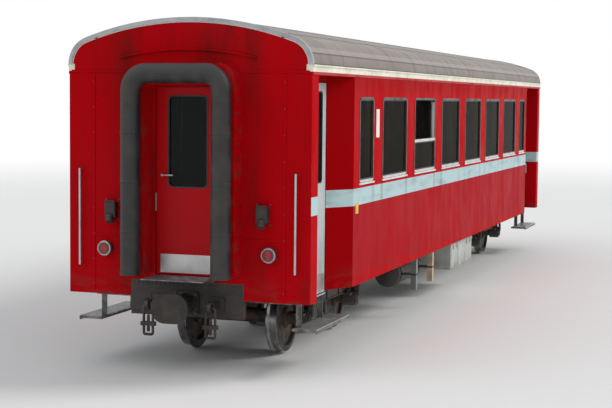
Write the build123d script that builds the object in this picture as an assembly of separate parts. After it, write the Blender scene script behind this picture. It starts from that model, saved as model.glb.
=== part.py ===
from build123d import *
import math
import os

# Metre-gauge second-class passenger coach, millimetres.
# +X points to the coach's front end, +Y to its left side, +Z up. Both ends are alike.
# Z is 0 under the wheel flanges, which is what the coach stands on when it is off the rail.

# Rail and wheels
FLANGE_DEPTH = 28.0
RAIL = FLANGE_DEPTH
WHEEL_DIAMETER = 750.0
WHEEL_BACK = 462.5
WHEEL_WIDTH = 125.0
FLANGE_WIDTH = 32.0
WHEEL_RIM = 62.0
AXLE_RADIUS = 72.0
HUB_RADIUS = 110.0
JOURNAL_RADIUS = 50.0
JOURNAL_CLEARANCE = 0.1
AXLE_Z = RAIL + WHEEL_DIAMETER / 2

# Body plan
HALF_WIDTH = 1325.0
WALL = 60.0
SEAT_GAP = 0.3

# Entrance recess in each corner: a slanting panel, a door set back, and an end post
RECESS_DEPTH = 200.0
RECESS_RUN = 340.0
JAMB = 10.0
DOOR_WIDTH = 900.0
DOOR_GAP = 8.0
END_POST = 210.0

# Body heights
SKIRT_Z = RAIL + 750.0
FLOOR_TOP = SKIRT_Z + 230.0
FLOOR_THICK = 60.0
WINDOW_SILL = FLOOR_TOP + 893.0
WINDOW_HEIGHT = 941.0
WINDOW_HEAD = WINDOW_SILL + WINDOW_HEIGHT
WALL_TOP = WINDOW_HEAD + 241.0
STRIP_HEIGHT = 70.0
STRIP_PROUD = 8.0
ROOF_START = WALL_TOP + STRIP_HEIGHT
ROOF_RISE = 465.0
ROOF_TOP = ROOF_START + ROOF_RISE
DOOR_BOTTOM = SKIRT_Z - 20.0
DOOR_TOP = WALL_TOP - 100.0
ROOF_EDGE_RADIUS = 280.0
ROOF_THICK = 45.0
ROOF_RIB_RADIUS = 11.0
ROOF_RIB_SPACING = 330.0
ROOF_RIBS_EACH_SIDE = 3
SOFFIT_THICK = 30.0

# Side windows; the one with the dropped sash is counted from the rear, from 0
WINDOW_PITCH = 1525.0
WINDOW_WIDTH = 1135.0
WINDOW_COUNT = 6
WINDOW_RADIUS = 70.0
SMALL_WINDOW_WIDTH = 578.0
SMALL_WINDOW_PILLAR = 378.0
CORNER_PILLAR = 204.0
FRAME_RING = 28.0
FRAME_DEPTH = 44.0
FRAME_PROUD = 5.0
SASH_TOP = WINDOW_SILL + 414.0
SASH_RAIL = 34.0
DROPPED_WINDOW = 1
GLASS_THICK = 6.0

# Folding door leaves
LEAF_EDGE_GAP = 6.0
LEAF_SETBACK = 10.0
LEAF_THICK = 30.0
LEAF_SEAM = 16.0
LEAF_WINDOW_WIDTH = 200.0
LEAF_WINDOW_SILL = WINDOW_SILL + 32.0
LEAF_WINDOW_HEAD = DOOR_TOP - 85.0
LEAF_WINDOW_RADIUS = 45.0
SHAFT_RADIUS = 12.0
SHAFT_FROM_JAMB = 15.0
SHAFT_FROM_LEAF = 8.0
KNUCKLE_RADIUS = 6.0
KNUCKLE_LENGTH = 90.0
HINGE_COUNT = 4

# Step wells and footsteps
WELL_DEPTH = 560.0
WELL_SHEET = 20.0
STEP_Z = RAIL + 465.0
STEP_THICK = 25.0
STEP_BEFORE_DOOR = 240.0
HANGER_FROM_JAMB = 80.0
HANGER_FROM_POST = 120.0
STEP_NOSE = 40.0

# Gangway
GANGWAY_WIDTH = 700.0
GANGWAY_TOP = FLOOR_TOP + 1920.0
PORTAL_DEPTH = 205.0
PORTAL_INNER = GANGWAY_WIDTH / 2 + 35.0
PORTAL_WIDTH = 205.0
PORTAL_OUTER = PORTAL_INNER + PORTAL_WIDTH
PORTAL_TOP = GANGWAY_TOP + 25.0 + PORTAL_WIDTH
PORTAL_SHEET = 12.0
PORTAL_FOOT = 20.0
CUT_ROOM = 50.0
TUBE_RADIUS = 100.0
TUBE_BEND = 170.0
END_DOOR_THICK = 35.0
END_DOOR_GAP = 6.0
END_DOOR_PIN = 10.0
END_PANE_WIDTH = 440.0

# Buffers and hooks
BUFFER_REACH = 445.0
BUFFER_Z = RAIL + 700.0
BUFFER_WIDTH = 400.0
BUFFER_HEIGHT = 300.0
BUFFER_THICK = 28.0
BUFFER_STEM_RADIUS = 62.0
BUFFER_CASE_RADIUS = 95.0
BUFFER_CASE_LENGTH = 260.0
HOOK_Y = 340.0
HOOK_Z = RAIL + 700.0
HOOK_REACH = 250.0
HOOK_RADIUS = 60.0
HOOK_THROAT = 26.0
HOOK_THICK = 36.0
LINK_RADIUS = 14.0
LINK_WIDTH = 100.0
LINK_DROP = 300.0

# Underframe
SIDE_SILL_DEPTH = 130.0
SIDE_SILL_WIDTH = 80.0
SILL_INSET = 100.0
GRID_DEPTH = 100.0
CENTRE_SILL_Y = 300.0
CENTRE_SILL_WIDTH = 90.0
BEARER_WIDTH = 70.0
BEARER_COUNT = 11
BOLSTER_WIDTH = 440.0
HEADSTOCK_THICK = 70.0
HEADSTOCK_HALF_WIDTH = 620.0
HEADSTOCK_BOTTOM = RAIL + 560.0

# Bogies
BOGIE_FROM_END = 2360.0
WHEELBASE = 1800.0
BEAM_Y = 770.0
BEAM_WIDTH = 110.0
BEAM_TOP = RAIL + 690.0
BEAM_DEPTH = 120.0
BEAM_DROP = 80.0
BEAM_HALF_LENGTH = 1180.0
TRANSOM_X = 230.0
TRANSOM_WIDTH = 140.0
CENTRE_PLATE_RADIUS = 140.0
CENTRE_PLATE_RISE = 34.0
BOX_RADIUS = 100.0
BOX_LENGTH = 150.0
BOX_WING = 350.0
SPRING_RADIUS = 48.0
SPRING_SPREAD = 122.0
SPRING_WIRE = 9.0
SPRING_COILS = 4
SHOE_GAP = 5.0
SHOE_THICK = 42.0
SHOE_ARC = 40.0

# Saloon
SEAT_WIDTH = 940.0
SEAT_DEPTH = 480.0
SEAT_HEIGHT = 440.0
SEAT_BACK_TOP = 1130.0
SEAT_BACK_THICK = 75.0
SEAT_BACK_LEAN = 45.0
SEAT_FROM_WALL = 20.0
CUSHION_THICK = 120.0
BACK_TO_BACK = 12.0
PARTITION_GAP = 7.0
PARTITION_THICK = 40.0
PARTITION_PASSAGE = 760.0
PARTITION_HEAD = FLOOR_TOP + 1970.0
TABLE_TOP = 685.0
RACK_DEPTH = 380.0
RACK_ABOVE_WINDOW = 60.0
LAMP_Y = 400.0
LAMP_LENGTH = 1120.0

# Underfloor gear, as on the seen side: tank on two straps, then a light grey case
CASE_X = 410.0
CASE_LENGTH = 1480.0
CASE_DEPTH = 520.0
CASE_FOOT = RAIL + 350.0
TANK_X = -1900.0
TANK_FROM_SIDE = 425.0
TANK_RADIUS = 165.0
TANK_LENGTH = 1350.0
TANK_Z = RAIL + 520.0
STRAP_SPREAD = 455.0
STRAP_WIDTH = 90.0
STRAP_THICK = 8.0
STRAP_LEG_DEPTH = 72.0
STRAP_LEG_SHEET = 10.0
STRAP_LEG_DROP = 200.0
STRAP_ARM_THICK = 24.0
CYLINDER_RADIUS = 210.0

# End fittings
END_LAMP_FROM_SIDE = 425.0
END_RAIL_FROM_SIDE = 145.0

# Places worked out from the sizes above, from the middle of the coach to its end
LAST_WINDOW_END = (WINDOW_COUNT - 1) / 2 * WINDOW_PITCH + WINDOW_WIDTH / 2
SMALL_WINDOW_X = LAST_WINDOW_END + SMALL_WINDOW_PILLAR + SMALL_WINDOW_WIDTH / 2
HALF_FLAT = SMALL_WINDOW_X + SMALL_WINDOW_WIDTH / 2 + CORNER_PILLAR
DOOR_Y = HALF_WIDTH - RECESS_DEPTH
DOOR_X = HALF_FLAT + RECESS_RUN + JAMB
DOOR_END = DOOR_X + DOOR_WIDTH
POST_X = DOOR_END + JAMB
HALF_LENGTH = POST_X + END_POST
BUFFER_X = HALF_LENGTH + BUFFER_REACH
BOGIE_CENTRE = HALF_LENGTH - BOGIE_FROM_END
SILL_END = HALF_FLAT - SILL_INSET
STEP_START = DOOR_X - STEP_BEFORE_DOOR
BENCH_EDGE = WINDOW_PITCH * WINDOW_COUNT / 2
PARTITION_X = BENCH_EDGE + PARTITION_GAP + PARTITION_THICK / 2
TANK_Y = HALF_WIDTH - TANK_FROM_SIDE
INNER_Y = HALF_WIDTH - WALL
DOOR_INNER = DOOR_Y - WALL
FLOOR_BOTTOM = FLOOR_TOP - FLOOR_THICK
LEAF_LOW = DOOR_BOTTOM + DOOR_GAP
LEAF_IN = LEAF_SETBACK + LEAF_THICK
SHAFT_V = LEAF_IN + SHAFT_FROM_LEAF
SEAM_U = DOOR_WIDTH / 2
BEARER_PITCH = (2 * SILL_END - BEARER_WIDTH) / (BEARER_COUNT - 1)
LEAF_A = (LEAF_EDGE_GAP, SEAM_U - LEAF_SEAM / 2)
LEAF_B = (SEAM_U + LEAF_SEAM / 2, DOOR_WIDTH - LEAF_EDGE_GAP)
BEAM_LOW = BEAM_TOP - BEAM_DEPTH
WING_TOP = AXLE_Z + 75.0


# Drawing helpers
def block(x0, x1, y0, y1, z0, z1):
    """An upright box between two corners."""
    size = (abs(x1 - x0), abs(y1 - y0), abs(z1 - z0))
    centre = ((x0 + x1) / 2, (y0 + y1) / 2, (z0 + z1) / 2)
    return Pos(*centre) * Box(*size)


def plan_prism(points, z0, z1):
    """A plan outline drawn up from z0 to z1."""
    outline = make_face(Polyline(*points, close=True))
    return Pos(0, 0, z0) * extrude(outline, z1 - z0, dir=(0, 0, 1))


def side_prism(points, y0, y1):
    """An outline in X and Z, carried from y0 to y1."""
    outline = make_face(Polyline(*[(x, 0, z) for x, z in points], close=True))
    return Pos(0, y0, 0) * extrude(outline, y1 - y0, dir=(0, 1, 0))


def rod(start, end, radius):
    """A round bar between two points."""
    run = Vector(*end) - Vector(*start)
    plane = Plane(origin=start, z_dir=run.normalized())
    return extrude(plane * Circle(radius), run.length)


def upright(x, y, z0, z1, radius):
    """A round bar standing on z0."""
    return Pos(x, y, (z0 + z1) / 2) * Cylinder(radius, z1 - z0)


def across_y(x, z, y0, y1, radius):
    """A round bar across the coach."""
    return Pos(x, (y0 + y1) / 2, z) * Rot(90, 0, 0) * Cylinder(radius, abs(y1 - y0))


def rounded_y(x0, x1, z0, z1, y0, y1, radius):
    """A block with rounded corners in X and Z, carried along Y."""
    plane = Plane(origin=((x0 + x1) / 2, y0, (z0 + z1) / 2), x_dir=(1, 0, 0), z_dir=(0, 1, 0))
    return extrude(plane * RectangleRounded(x1 - x0, z1 - z0, radius), y1 - y0)


def rounded_x(y0, y1, z0, z1, x0, x1, radius):
    """A block with rounded corners in Y and Z, carried along X."""
    plane = Plane(origin=(x0, (y0 + y1) / 2, (z0 + z1) / 2), x_dir=(0, 1, 0), z_dir=(1, 0, 0))
    return extrude(plane * RectangleRounded(y1 - y0, z1 - z0, radius), x1 - x0)


def along_x(face, x0, x1):
    """A section drawn in Y and Z, carried along X."""
    return extrude(Plane(origin=(x0, 0, 0), x_dir=(0, 1, 0), z_dir=(1, 0, 0)) * face, x1 - x0)


def fused(pieces):
    return pieces[0] + pieces[1:] if len(pieces) > 1 else pieces[0]


def both_ends(shape):
    return [shape, mirror(shape, about=Plane.YZ)]


def both_sides(shape):
    return [shape, mirror(shape, about=Plane.XZ)]


def four_corners(shape):
    return [corner for end in both_ends(shape) for corner in both_sides(end)]


def save(name, shapes):
    """Write one node, as one solid or as several that don't touch."""
    solids = []
    for shape in shapes if isinstance(shapes, (list, tuple)) else [shapes]:
        solids.extend(shape.solids())
    node = solids[0] if len(solids) == 1 else Compound(children=solids)
    export_step(node, "parts/" + name + ".step")


def at_doorway(shape):
    """Place a shape drawn at a doorway onto the front right corner.

    Before placing, X runs along the door from the saloon-side jamb, and Y runs inward from the
    outer face of the wall that the door is in.
    """
    return Pos(DOOR_X, -DOOR_Y, 0) * shape


# Body shell
def slant_inner_x(y):
    """X of the slanting panel's inner face at a distance y from the coach's centreline."""
    slant = math.hypot(RECESS_RUN, RECESS_DEPTH)
    x0 = HALF_FLAT - WALL * RECESS_DEPTH / slant
    y0 = HALF_WIDTH - WALL * RECESS_RUN / slant
    return x0 + (y0 - y) * RECESS_RUN / RECESS_DEPTH


def window_rows(dropped):
    """Side windows as rows of (centre x, width, dropped sash)."""
    rows = [(end * SMALL_WINDOW_X, SMALL_WINDOW_WIDTH, False) for end in (-1, 1)]
    first = -WINDOW_PITCH * (WINDOW_COUNT - 1) / 2
    for index in range(WINDOW_COUNT):
        rows.append((first + index * WINDOW_PITCH, WINDOW_WIDTH, index == dropped))
    return rows


def side_wall():
    """The flat right side from skirt to eave, with its window openings."""
    wall = block(-HALF_FLAT, HALF_FLAT, -HALF_WIDTH, -INNER_Y, SKIRT_Z, WALL_TOP)
    for x, width, dropped in window_rows(None):
        half = width / 2
        wall -= rounded_y(
            x - half, x + half, WINDOW_SILL, WINDOW_HEAD, -HALF_WIDTH - 1, -INNER_Y + 1, WINDOW_RADIUS
        )
    return wall


def window_frame(x, width, dropped):
    """An aluminium ring in its opening, with the sash's top rail where the window is dropped."""
    y0 = -HALF_WIDTH - FRAME_PROUD
    y1 = y0 + FRAME_DEPTH
    half = width / 2 - SEAT_GAP
    low = WINDOW_SILL + SEAT_GAP
    high = WINDOW_HEAD - SEAT_GAP
    radius = WINDOW_RADIUS - SEAT_GAP
    ring = rounded_y(x - half, x + half, low, high, y0, y1, radius)
    ring -= rounded_y(
        x - half + FRAME_RING, x + half - FRAME_RING, low + FRAME_RING, high - FRAME_RING,
        y0 - 1, y1 + 1, radius - FRAME_RING,
    )
    if dropped:
        reach = half - FRAME_RING / 2
        ring += block(x - reach, x + reach, y0 + 6, y1 - 6, SASH_TOP - SASH_RAIL, SASH_TOP)
    return ring


def window_pane(x, width, dropped):
    """The pane that a frame holds; a dropped one fills the lower half only."""
    grip = FRAME_RING + 2 * SEAT_GAP
    half = width / 2 - grip
    y0 = -HALF_WIDTH - FRAME_PROUD + (FRAME_DEPTH - GLASS_THICK) / 2
    pane = rounded_y(
        x - half, x + half, WINDOW_SILL + grip, WINDOW_HEAD - grip,
        y0, y0 + GLASS_THICK, WINDOW_RADIUS - grip,
    )
    if dropped:
        top = SASH_TOP - SASH_RAIL - SEAT_GAP
        pane -= block(x - half - 9, x + half + 9, y0 - 9, y0 + GLASS_THICK + 9, top, WINDOW_HEAD)
    return pane


def roof_arcs():
    """Radius, centre height and half width of the crown arc that meets the edge arcs smoothly."""
    rise = ROOF_TOP - ROOF_START
    reach = HALF_WIDTH - ROOF_EDGE_RADIUS
    crown = (reach ** 2 + rise ** 2 - ROOF_EDGE_RADIUS ** 2) / (2 * (rise - ROOF_EDGE_RADIUS))
    return crown, ROOF_TOP - crown, reach


def roof_height(y, inset):
    """Height of the crown arc above a line y from the centreline."""
    crown, crown_z, reach = roof_arcs()
    return crown_z + math.sqrt((crown - inset) ** 2 - y ** 2)


def roof_profile(inset):
    """The roof's section, moved inward by inset: two edge arcs and a flat crown arc."""
    crown, crown_z, reach = roof_arcs()
    lean = math.atan2(reach, ROOF_START - crown_z)
    edge = ROOF_EDGE_RADIUS - inset
    half_turn = (math.pi / 2 - lean) / 2
    join = (reach + edge * math.sin(lean), ROOF_START + edge * math.cos(lean))
    middle = (reach + edge * math.cos(half_turn), ROOF_START + edge * math.sin(half_turn))
    foot = (reach + edge, ROOF_START)
    outline = [
        ThreePointArc(foot, middle, join),
        ThreePointArc(join, (0, ROOF_TOP - inset), (-join[0], join[1])),
        ThreePointArc((-join[0], join[1]), (-middle[0], middle[1]), (-foot[0], foot[1])),
        Line((-foot[0], foot[1]), foot),
    ]
    return make_face(outline)


def roof():
    """The arched roof shell with its lengthwise beads."""
    shell = along_x(roof_profile(0), -HALF_LENGTH, HALF_LENGTH)
    shell -= along_x(roof_profile(ROOF_THICK), -HALF_LENGTH - 1, HALF_LENGTH + 1)
    beads = []
    for step in range(-ROOF_RIBS_EACH_SIDE, ROOF_RIBS_EACH_SIDE + 1):
        y = step * ROOF_RIB_SPACING
        z = roof_height(y, 4)
        beads.append(rod((-HALF_LENGTH, y, z), (HALF_LENGTH, y, z), ROOF_RIB_RADIUS))
    return fused([shell] + beads)


def eave_strip():
    """The pale moulding between wall and roof, with the rain gutter's lip along its top."""
    outer = HALF_WIDTH + STRIP_PROUD
    strip = block(-HALF_LENGTH, HALF_LENGTH, -outer, -INNER_Y, WALL_TOP, ROOF_START)
    lip = block(-HALF_LENGTH, HALF_LENGTH, -outer - 14, -outer, ROOF_START - 16, ROOF_START)
    return strip + lip


def end_wall():
    """The front end of the body.

    It has a slanting panel and a door header at each side, soffits over the recesses, end posts,
    the end wall with its gangway doorway, and the gable up to the roof.
    """
    panel = [
        (HALF_FLAT, HALF_WIDTH), (HALF_FLAT + RECESS_RUN, DOOR_Y), (DOOR_X, DOOR_Y),
        (DOOR_X, DOOR_INNER), (slant_inner_x(DOOR_INNER), DOOR_INNER),
        (slant_inner_x(INNER_Y), INNER_Y), (HALF_FLAT, INNER_Y),
    ]
    post = [
        (HALF_LENGTH, 0), (HALF_LENGTH, HALF_WIDTH), (POST_X, HALF_WIDTH), (POST_X, DOOR_Y),
        (DOOR_END, DOOR_Y), (DOOR_END, DOOR_INNER), (POST_X + WALL, DOOR_INNER),
        (POST_X + WALL, INNER_Y), (HALF_LENGTH - WALL, INNER_Y), (HALF_LENGTH - WALL, 0),
    ]
    soffit = [
        (HALF_FLAT, HALF_WIDTH), (POST_X, HALF_WIDTH), (POST_X, DOOR_Y), (HALF_FLAT + RECESS_RUN, DOOR_Y)
    ]
    half = fused([
        plan_prism(panel, SKIRT_Z, WALL_TOP),
        plan_prism(post, SKIRT_Z, WALL_TOP),
        plan_prism(soffit, WALL_TOP - SOFFIT_THICK, WALL_TOP),
        block(DOOR_X, DOOR_END, DOOR_INNER, DOOR_Y, DOOR_TOP + DOOR_GAP, WALL_TOP),
    ])
    face_in = HALF_LENGTH - WALL
    gable = along_x(roof_profile(ROOF_THICK + SEAT_GAP), face_in, HALF_LENGTH)
    gable += block(face_in, HALF_LENGTH, -INNER_Y, INNER_Y, WALL_TOP, ROOF_START)
    wall = fused(both_sides(half) + [gable])
    aisle = GANGWAY_WIDTH / 2
    wall -= block(face_in - 5, HALF_LENGTH + 5, -aisle, aisle, FLOOR_TOP, GANGWAY_TOP)
    head = HEADSTOCK_HALF_WIDTH
    return wall - block(face_in - 5, HALF_LENGTH + 5, -head, head, SKIRT_Z - 5, FLOOR_BOTTOM)


def floor():
    """The floor plate inside the walls, cut out at the four step wells."""
    corner = [
        (slant_inner_x(INNER_Y), INNER_Y), (slant_inner_x(DOOR_INNER), DOOR_INNER),
        (POST_X + WALL, DOOR_INNER), (POST_X + WALL, INNER_Y), (HALF_LENGTH - WALL, INNER_Y),
    ]
    outline = (
        corner
        + [(x, -y) for x, y in reversed(corner)]
        + [(-x, -y) for x, y in corner]
        + [(-x, y) for x, y in reversed(corner)]
    )
    plate = plan_prism(outline, FLOOR_BOTTOM, FLOOR_TOP)
    well = block(
        -WELL_SHEET, DOOR_WIDTH + WELL_SHEET, 0, WELL_DEPTH, FLOOR_BOTTOM - 5, FLOOR_TOP + 5
    )
    for cut in four_corners(at_doorway(well)):
        plate -= cut
    return plate


def step_well():
    """A sheet pit inside the doorway, with the threshold under the door."""
    base = DOOR_BOTTOM - WELL_SHEET
    pit = block(-WELL_SHEET, DOOR_WIDTH + WELL_SHEET, WALL, WELL_DEPTH, base, FLOOR_TOP)
    pit -= block(0, DOOR_WIDTH, WALL - 5, WELL_DEPTH - WELL_SHEET, DOOR_BOTTOM, FLOOR_TOP + 5)
    threshold = block(0, DOOR_WIDTH, 0, WALL, base, DOOR_BOTTOM)
    return at_doorway(pit + threshold)


def footstep():
    """A footboard under the recess, hung from the threshold on two flat brackets."""
    board = block(STEP_START, POST_X, -HALF_WIDTH, -DOOR_INNER, STEP_Z - STEP_THICK, STEP_Z)
    nose = block(STEP_START, POST_X, -HALF_WIDTH, -HALF_WIDTH + 8, STEP_Z - STEP_NOSE, STEP_Z)
    hangers = [
        block(x - 5, x + 5, -DOOR_Y, -DOOR_INNER, STEP_Z, DOOR_BOTTOM - WELL_SHEET)
        for x in (DOOR_X + HANGER_FROM_JAMB, DOOR_END - HANGER_FROM_POST)
    ]
    return fused([board, nose] + hangers)


# Underframe
def underframe():
    """Centre sills, cross bearers and bogie bolsters, welded into one grid."""
    top = FLOOR_BOTTOM
    low = top - GRID_DEPTH
    reach = INNER_Y - SIDE_SILL_WIDTH
    half = CENTRE_SILL_WIDTH / 2
    end = HALF_LENGTH - HEADSTOCK_THICK
    pieces = [
        block(-end, end, y - half, y + half, low, top) for y in (-CENTRE_SILL_Y, CENTRE_SILL_Y)
    ]
    for index in range(BEARER_COUNT):
        x = (index - (BEARER_COUNT - 1) / 2) * BEARER_PITCH
        pieces.append(block(x - BEARER_WIDTH / 2, x + BEARER_WIDTH / 2, -reach, reach, low + 20, top))
    for end in (-1, 1):
        x = end * BOGIE_CENTRE
        pieces.append(block(x - BOLSTER_WIDTH / 2, x + BOLSTER_WIDTH / 2, -reach, reach, low, top))
        foot = BEAM_TOP + CENTRE_PLATE_RISE + SEAT_GAP
        pieces.append(upright(x, 0, foot, low + 10, CENTRE_PLATE_RADIUS + 10))
    return fused(pieces)


def side_sill():
    inner = -INNER_Y + SIDE_SILL_WIDTH
    return block(-SILL_END, SILL_END, -INNER_Y, inner, FLOOR_BOTTOM - SIDE_SILL_DEPTH, FLOOR_BOTTOM)


def headstock():
    """The end beam that carries buffer and hooks, with its two rear webs."""
    x0 = HALF_LENGTH - HEADSTOCK_THICK
    half = HEADSTOCK_HALF_WIDTH
    beam = block(x0, HALF_LENGTH, -half, half, HEADSTOCK_BOTTOM, FLOOR_BOTTOM)
    low = FLOOR_BOTTOM - GRID_DEPTH
    for y in (-CENTRE_SILL_Y, CENTRE_SILL_Y):
        web = [(x0, HEADSTOCK_BOTTOM + 20), (x0, low), (x0 - 420, low), (x0 - 420, low - 20)]
        beam += side_prism(web, y - 10, y + 10)
    return beam


# Couplers
def centre_buffer():
    """A sprung centre buffer: flange, case, stem and broad oval face."""
    x0 = HALF_LENGTH
    flange = rounded_x(-140, 140, BUFFER_Z - 125, BUFFER_Z + 125, x0, x0 + 20, 30)
    case = rod((x0, 0, BUFFER_Z), (x0 + BUFFER_CASE_LENGTH, 0, BUFFER_Z), BUFFER_CASE_RADIUS)
    stem = rod((x0 + 200, 0, BUFFER_Z), (BUFFER_X - 10, 0, BUFFER_Z), BUFFER_STEM_RADIUS)
    half_w = BUFFER_WIDTH / 2
    half_h = BUFFER_HEIGHT / 2
    face = rounded_x(
        -half_w, half_w, BUFFER_Z - half_h, BUFFER_Z + half_h, BUFFER_X - BUFFER_THICK, BUFFER_X, half_h - 5
    )
    boss = Plane(origin=(BUFFER_X - BUFFER_THICK - 60, 0, BUFFER_Z), z_dir=(1, 0, 0))
    cone = extrude(boss * Circle(BUFFER_STEM_RADIUS), 60, taper=-35)
    return fused([flange, case, stem, face, cone])


def draw_hook(y):
    """A draw hook beside the buffer: wall plate, shank and upturned hook."""
    x0 = HALF_LENGTH
    hook_x = x0 + HOOK_REACH - HOOK_RADIUS
    half = HOOK_THICK / 2
    plate = rounded_x(y - 80, y + 80, HOOK_Z - 80, HOOK_Z + 80, x0, x0 + 16, 20)
    shank = block(x0, hook_x - HOOK_THROAT - 8, y - half, y + half, HOOK_Z - 34, HOOK_Z + 34)
    disc = across_y(hook_x, HOOK_Z, y - half, y + half, HOOK_RADIUS)
    disc -= across_y(hook_x, HOOK_Z, y - half - 5, y + half + 5, HOOK_THROAT)
    mouth = block(hook_x - HOOK_THROAT, hook_x + 12, y - half - 5, y + half + 5, HOOK_Z, HOOK_Z + 90)
    return fused([plate, shank, disc]) - mouth


def screw_link(y):
    """A coupling link that hangs in the hook's throat, with its screw's nut bar."""
    x = HALF_LENGTH + HOOK_REACH - HOOK_RADIUS
    top = HOOK_Z - HOOK_THROAT + LINK_RADIUS + SEAT_GAP
    half = LINK_WIDTH / 2
    foot = top - LINK_DROP
    corners = [(x, y + half, foot), (x, y + half, top), (x, y - half, top), (x, y - half, foot)]
    path = FilletPolyline(*corners, radius=LINK_RADIUS + 6, close=True)
    start = Plane(origin=path @ 0, z_dir=path % 0)
    loop = sweep(start * Circle(LINK_RADIUS), path=path)
    nut = block(x - 24, x + 24, y - half - 28, y + half + 28, foot + 90, foot + 130)
    screw = upright(x, y, foot + 30, foot + 200, 16)
    return fused([loop, nut, screw])


# Gangway
def gangway_frame():
    """The steel portal that carries the rubber bulge in front of the end wall."""
    x0 = HALF_LENGTH
    x1 = HALF_LENGTH + PORTAL_DEPTH
    foot = FLOOR_TOP + PORTAL_FOOT
    low = foot - TUBE_BEND - CUT_ROOM
    head = PORTAL_TOP - PORTAL_OUTER + PORTAL_INNER
    reach = PORTAL_OUTER + CUT_ROOM
    outer = rounded_x(-PORTAL_OUTER, PORTAL_OUTER, low, PORTAL_TOP, x0, x1, TUBE_BEND)
    inner = rounded_x(
        -PORTAL_INNER, PORTAL_INNER, low - CUT_ROOM, head, x0 - CUT_ROOM, x1 + CUT_ROOM, TUBE_BEND / 3
    )
    below = block(x0 - CUT_ROOM, x1 + CUT_ROOM, -reach, reach, low - 3 * CUT_ROOM, foot)
    frame = outer - inner - below
    hollow_out = rounded_x(
        -PORTAL_OUTER + PORTAL_SHEET, PORTAL_OUTER - PORTAL_SHEET, low - CUT_ROOM,
        PORTAL_TOP - PORTAL_SHEET, x0 - CUT_ROOM, x1 - PORTAL_SHEET, TUBE_BEND - PORTAL_SHEET,
    )
    hollow_in = rounded_x(
        -PORTAL_INNER - PORTAL_SHEET, PORTAL_INNER + PORTAL_SHEET, low - 2 * CUT_ROOM,
        head + PORTAL_SHEET, x0 - 2 * CUT_ROOM, x1, TUBE_BEND / 3 + PORTAL_SHEET,
    )
    keep = block(
        x0 - CUT_ROOM, x1 + CUT_ROOM, -reach, reach, low - 3 * CUT_ROOM, foot + PORTAL_SHEET
    )
    return frame - (hollow_out - hollow_in - keep)


def gangway_tube():
    """The rubber bulge on the portal: two upright legs and a bent top."""
    x = HALF_LENGTH + PORTAL_DEPTH + TUBE_RADIUS
    y = (PORTAL_INNER + PORTAL_OUTER) / 2
    top = PORTAL_TOP - (PORTAL_OUTER - PORTAL_INNER) / 2
    foot = FLOOR_TOP + 30
    path = FilletPolyline((x, -y, foot), (x, -y, top), (x, y, top), (x, y, foot), radius=TUBE_BEND)
    section = Plane(origin=(x, -y, foot), z_dir=(0, 0, 1)) * Circle(TUBE_RADIUS - SEAT_GAP)
    return sweep(section, path=path)


def gangway_plate():
    """The footplate in front of the gangway doorway, on two brackets."""
    half = GANGWAY_WIDTH / 2 - 10
    top = FLOOR_TOP - 4
    reach = HALF_LENGTH + PORTAL_DEPTH + 2 * TUBE_RADIUS - 20
    plate = block(HALF_LENGTH, reach, -half, half, top - 10, top)
    for y in (-half + 40, half - 40):
        foot = [(HALF_LENGTH, top - 10), (reach - 60, top - 10), (HALF_LENGTH, top - 55)]
        plate += side_prism(foot, y - 6, y + 6)
    return plate


def end_door():
    """The gangway door on its pin at the left jamb, with its pane, opening inward."""
    half = GANGWAY_WIDTH / 2 - END_DOOR_GAP
    face_in = HALF_LENGTH - WALL
    low = FLOOR_TOP + END_DOOR_GAP
    high = GANGWAY_TOP - END_DOOR_GAP
    x0 = face_in + 5
    pane_half = END_PANE_WIDTH / 2
    leaf = block(x0, x0 + END_DOOR_THICK, -half, half, low, high)
    leaf -= rounded_x(-pane_half, pane_half, WINDOW_SILL, WINDOW_HEAD, x0 - 5, x0 + 60, 60)
    leaf += upright(face_in, half - END_DOOR_PIN + 2, FLOOR_TOP + SEAT_GAP, high, END_DOOR_PIN)
    leaf += rod((x0 + END_DOOR_THICK, -half + 70, RAIL + 2000), (x0 + 70, -half + 70, RAIL + 2000), 12)
    leaf += rod((x0 + 62, -half + 60, RAIL + 2000), (x0 + 62, -half + 190, RAIL + 2000), 9)
    grip = pane_half - SEAT_GAP
    middle = x0 + (END_DOOR_THICK - GLASS_THICK) / 2
    pane = rounded_x(
        -grip, grip, WINDOW_SILL + SEAT_GAP, WINDOW_HEAD - SEAT_GAP,
        middle, middle + GLASS_THICK, 60 - SEAT_GAP,
    )
    return [leaf, pane]


# Folding entrance doors, drawn at the doorway
def leaf_panel(span):
    """One leaf with its tall narrow window opening."""
    u0, u1 = span
    centre = (u0 + u1) / 2
    half = LEAF_WINDOW_WIDTH / 2
    panel = block(u0, u1, LEAF_SETBACK, LEAF_IN, LEAF_LOW, DOOR_TOP)
    return panel - rounded_y(
        centre - half, centre + half, LEAF_WINDOW_SILL, LEAF_WINDOW_HEAD,
        LEAF_SETBACK - 5, LEAF_IN + 5, LEAF_WINDOW_RADIUS,
    )


def leaf_pane(span):
    centre = sum(span) / 2
    half = LEAF_WINDOW_WIDTH / 2 - SEAT_GAP
    v0 = LEAF_SETBACK + (LEAF_THICK - GLASS_THICK) / 2
    return rounded_y(
        centre - half, centre + half, LEAF_WINDOW_SILL + SEAT_GAP, LEAF_WINDOW_HEAD - SEAT_GAP,
        v0, v0 + GLASS_THICK, LEAF_WINDOW_RADIUS - SEAT_GAP,
    )


def knuckle(edge, z0):
    """A hinge barrel on the leaves' outer face, with the tab that holds it to its leaf."""
    z1 = z0 + KNUCKLE_LENGTH
    reach = 6.0 if edge > SEAM_U else -6.0
    tab = block(SEAM_U, edge + reach, LEAF_SETBACK, LEAF_SETBACK + 5, z0, z1)
    return upright(SEAM_U, LEAF_SETBACK, z0, z1, KNUCKLE_RADIUS) + tab


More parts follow.
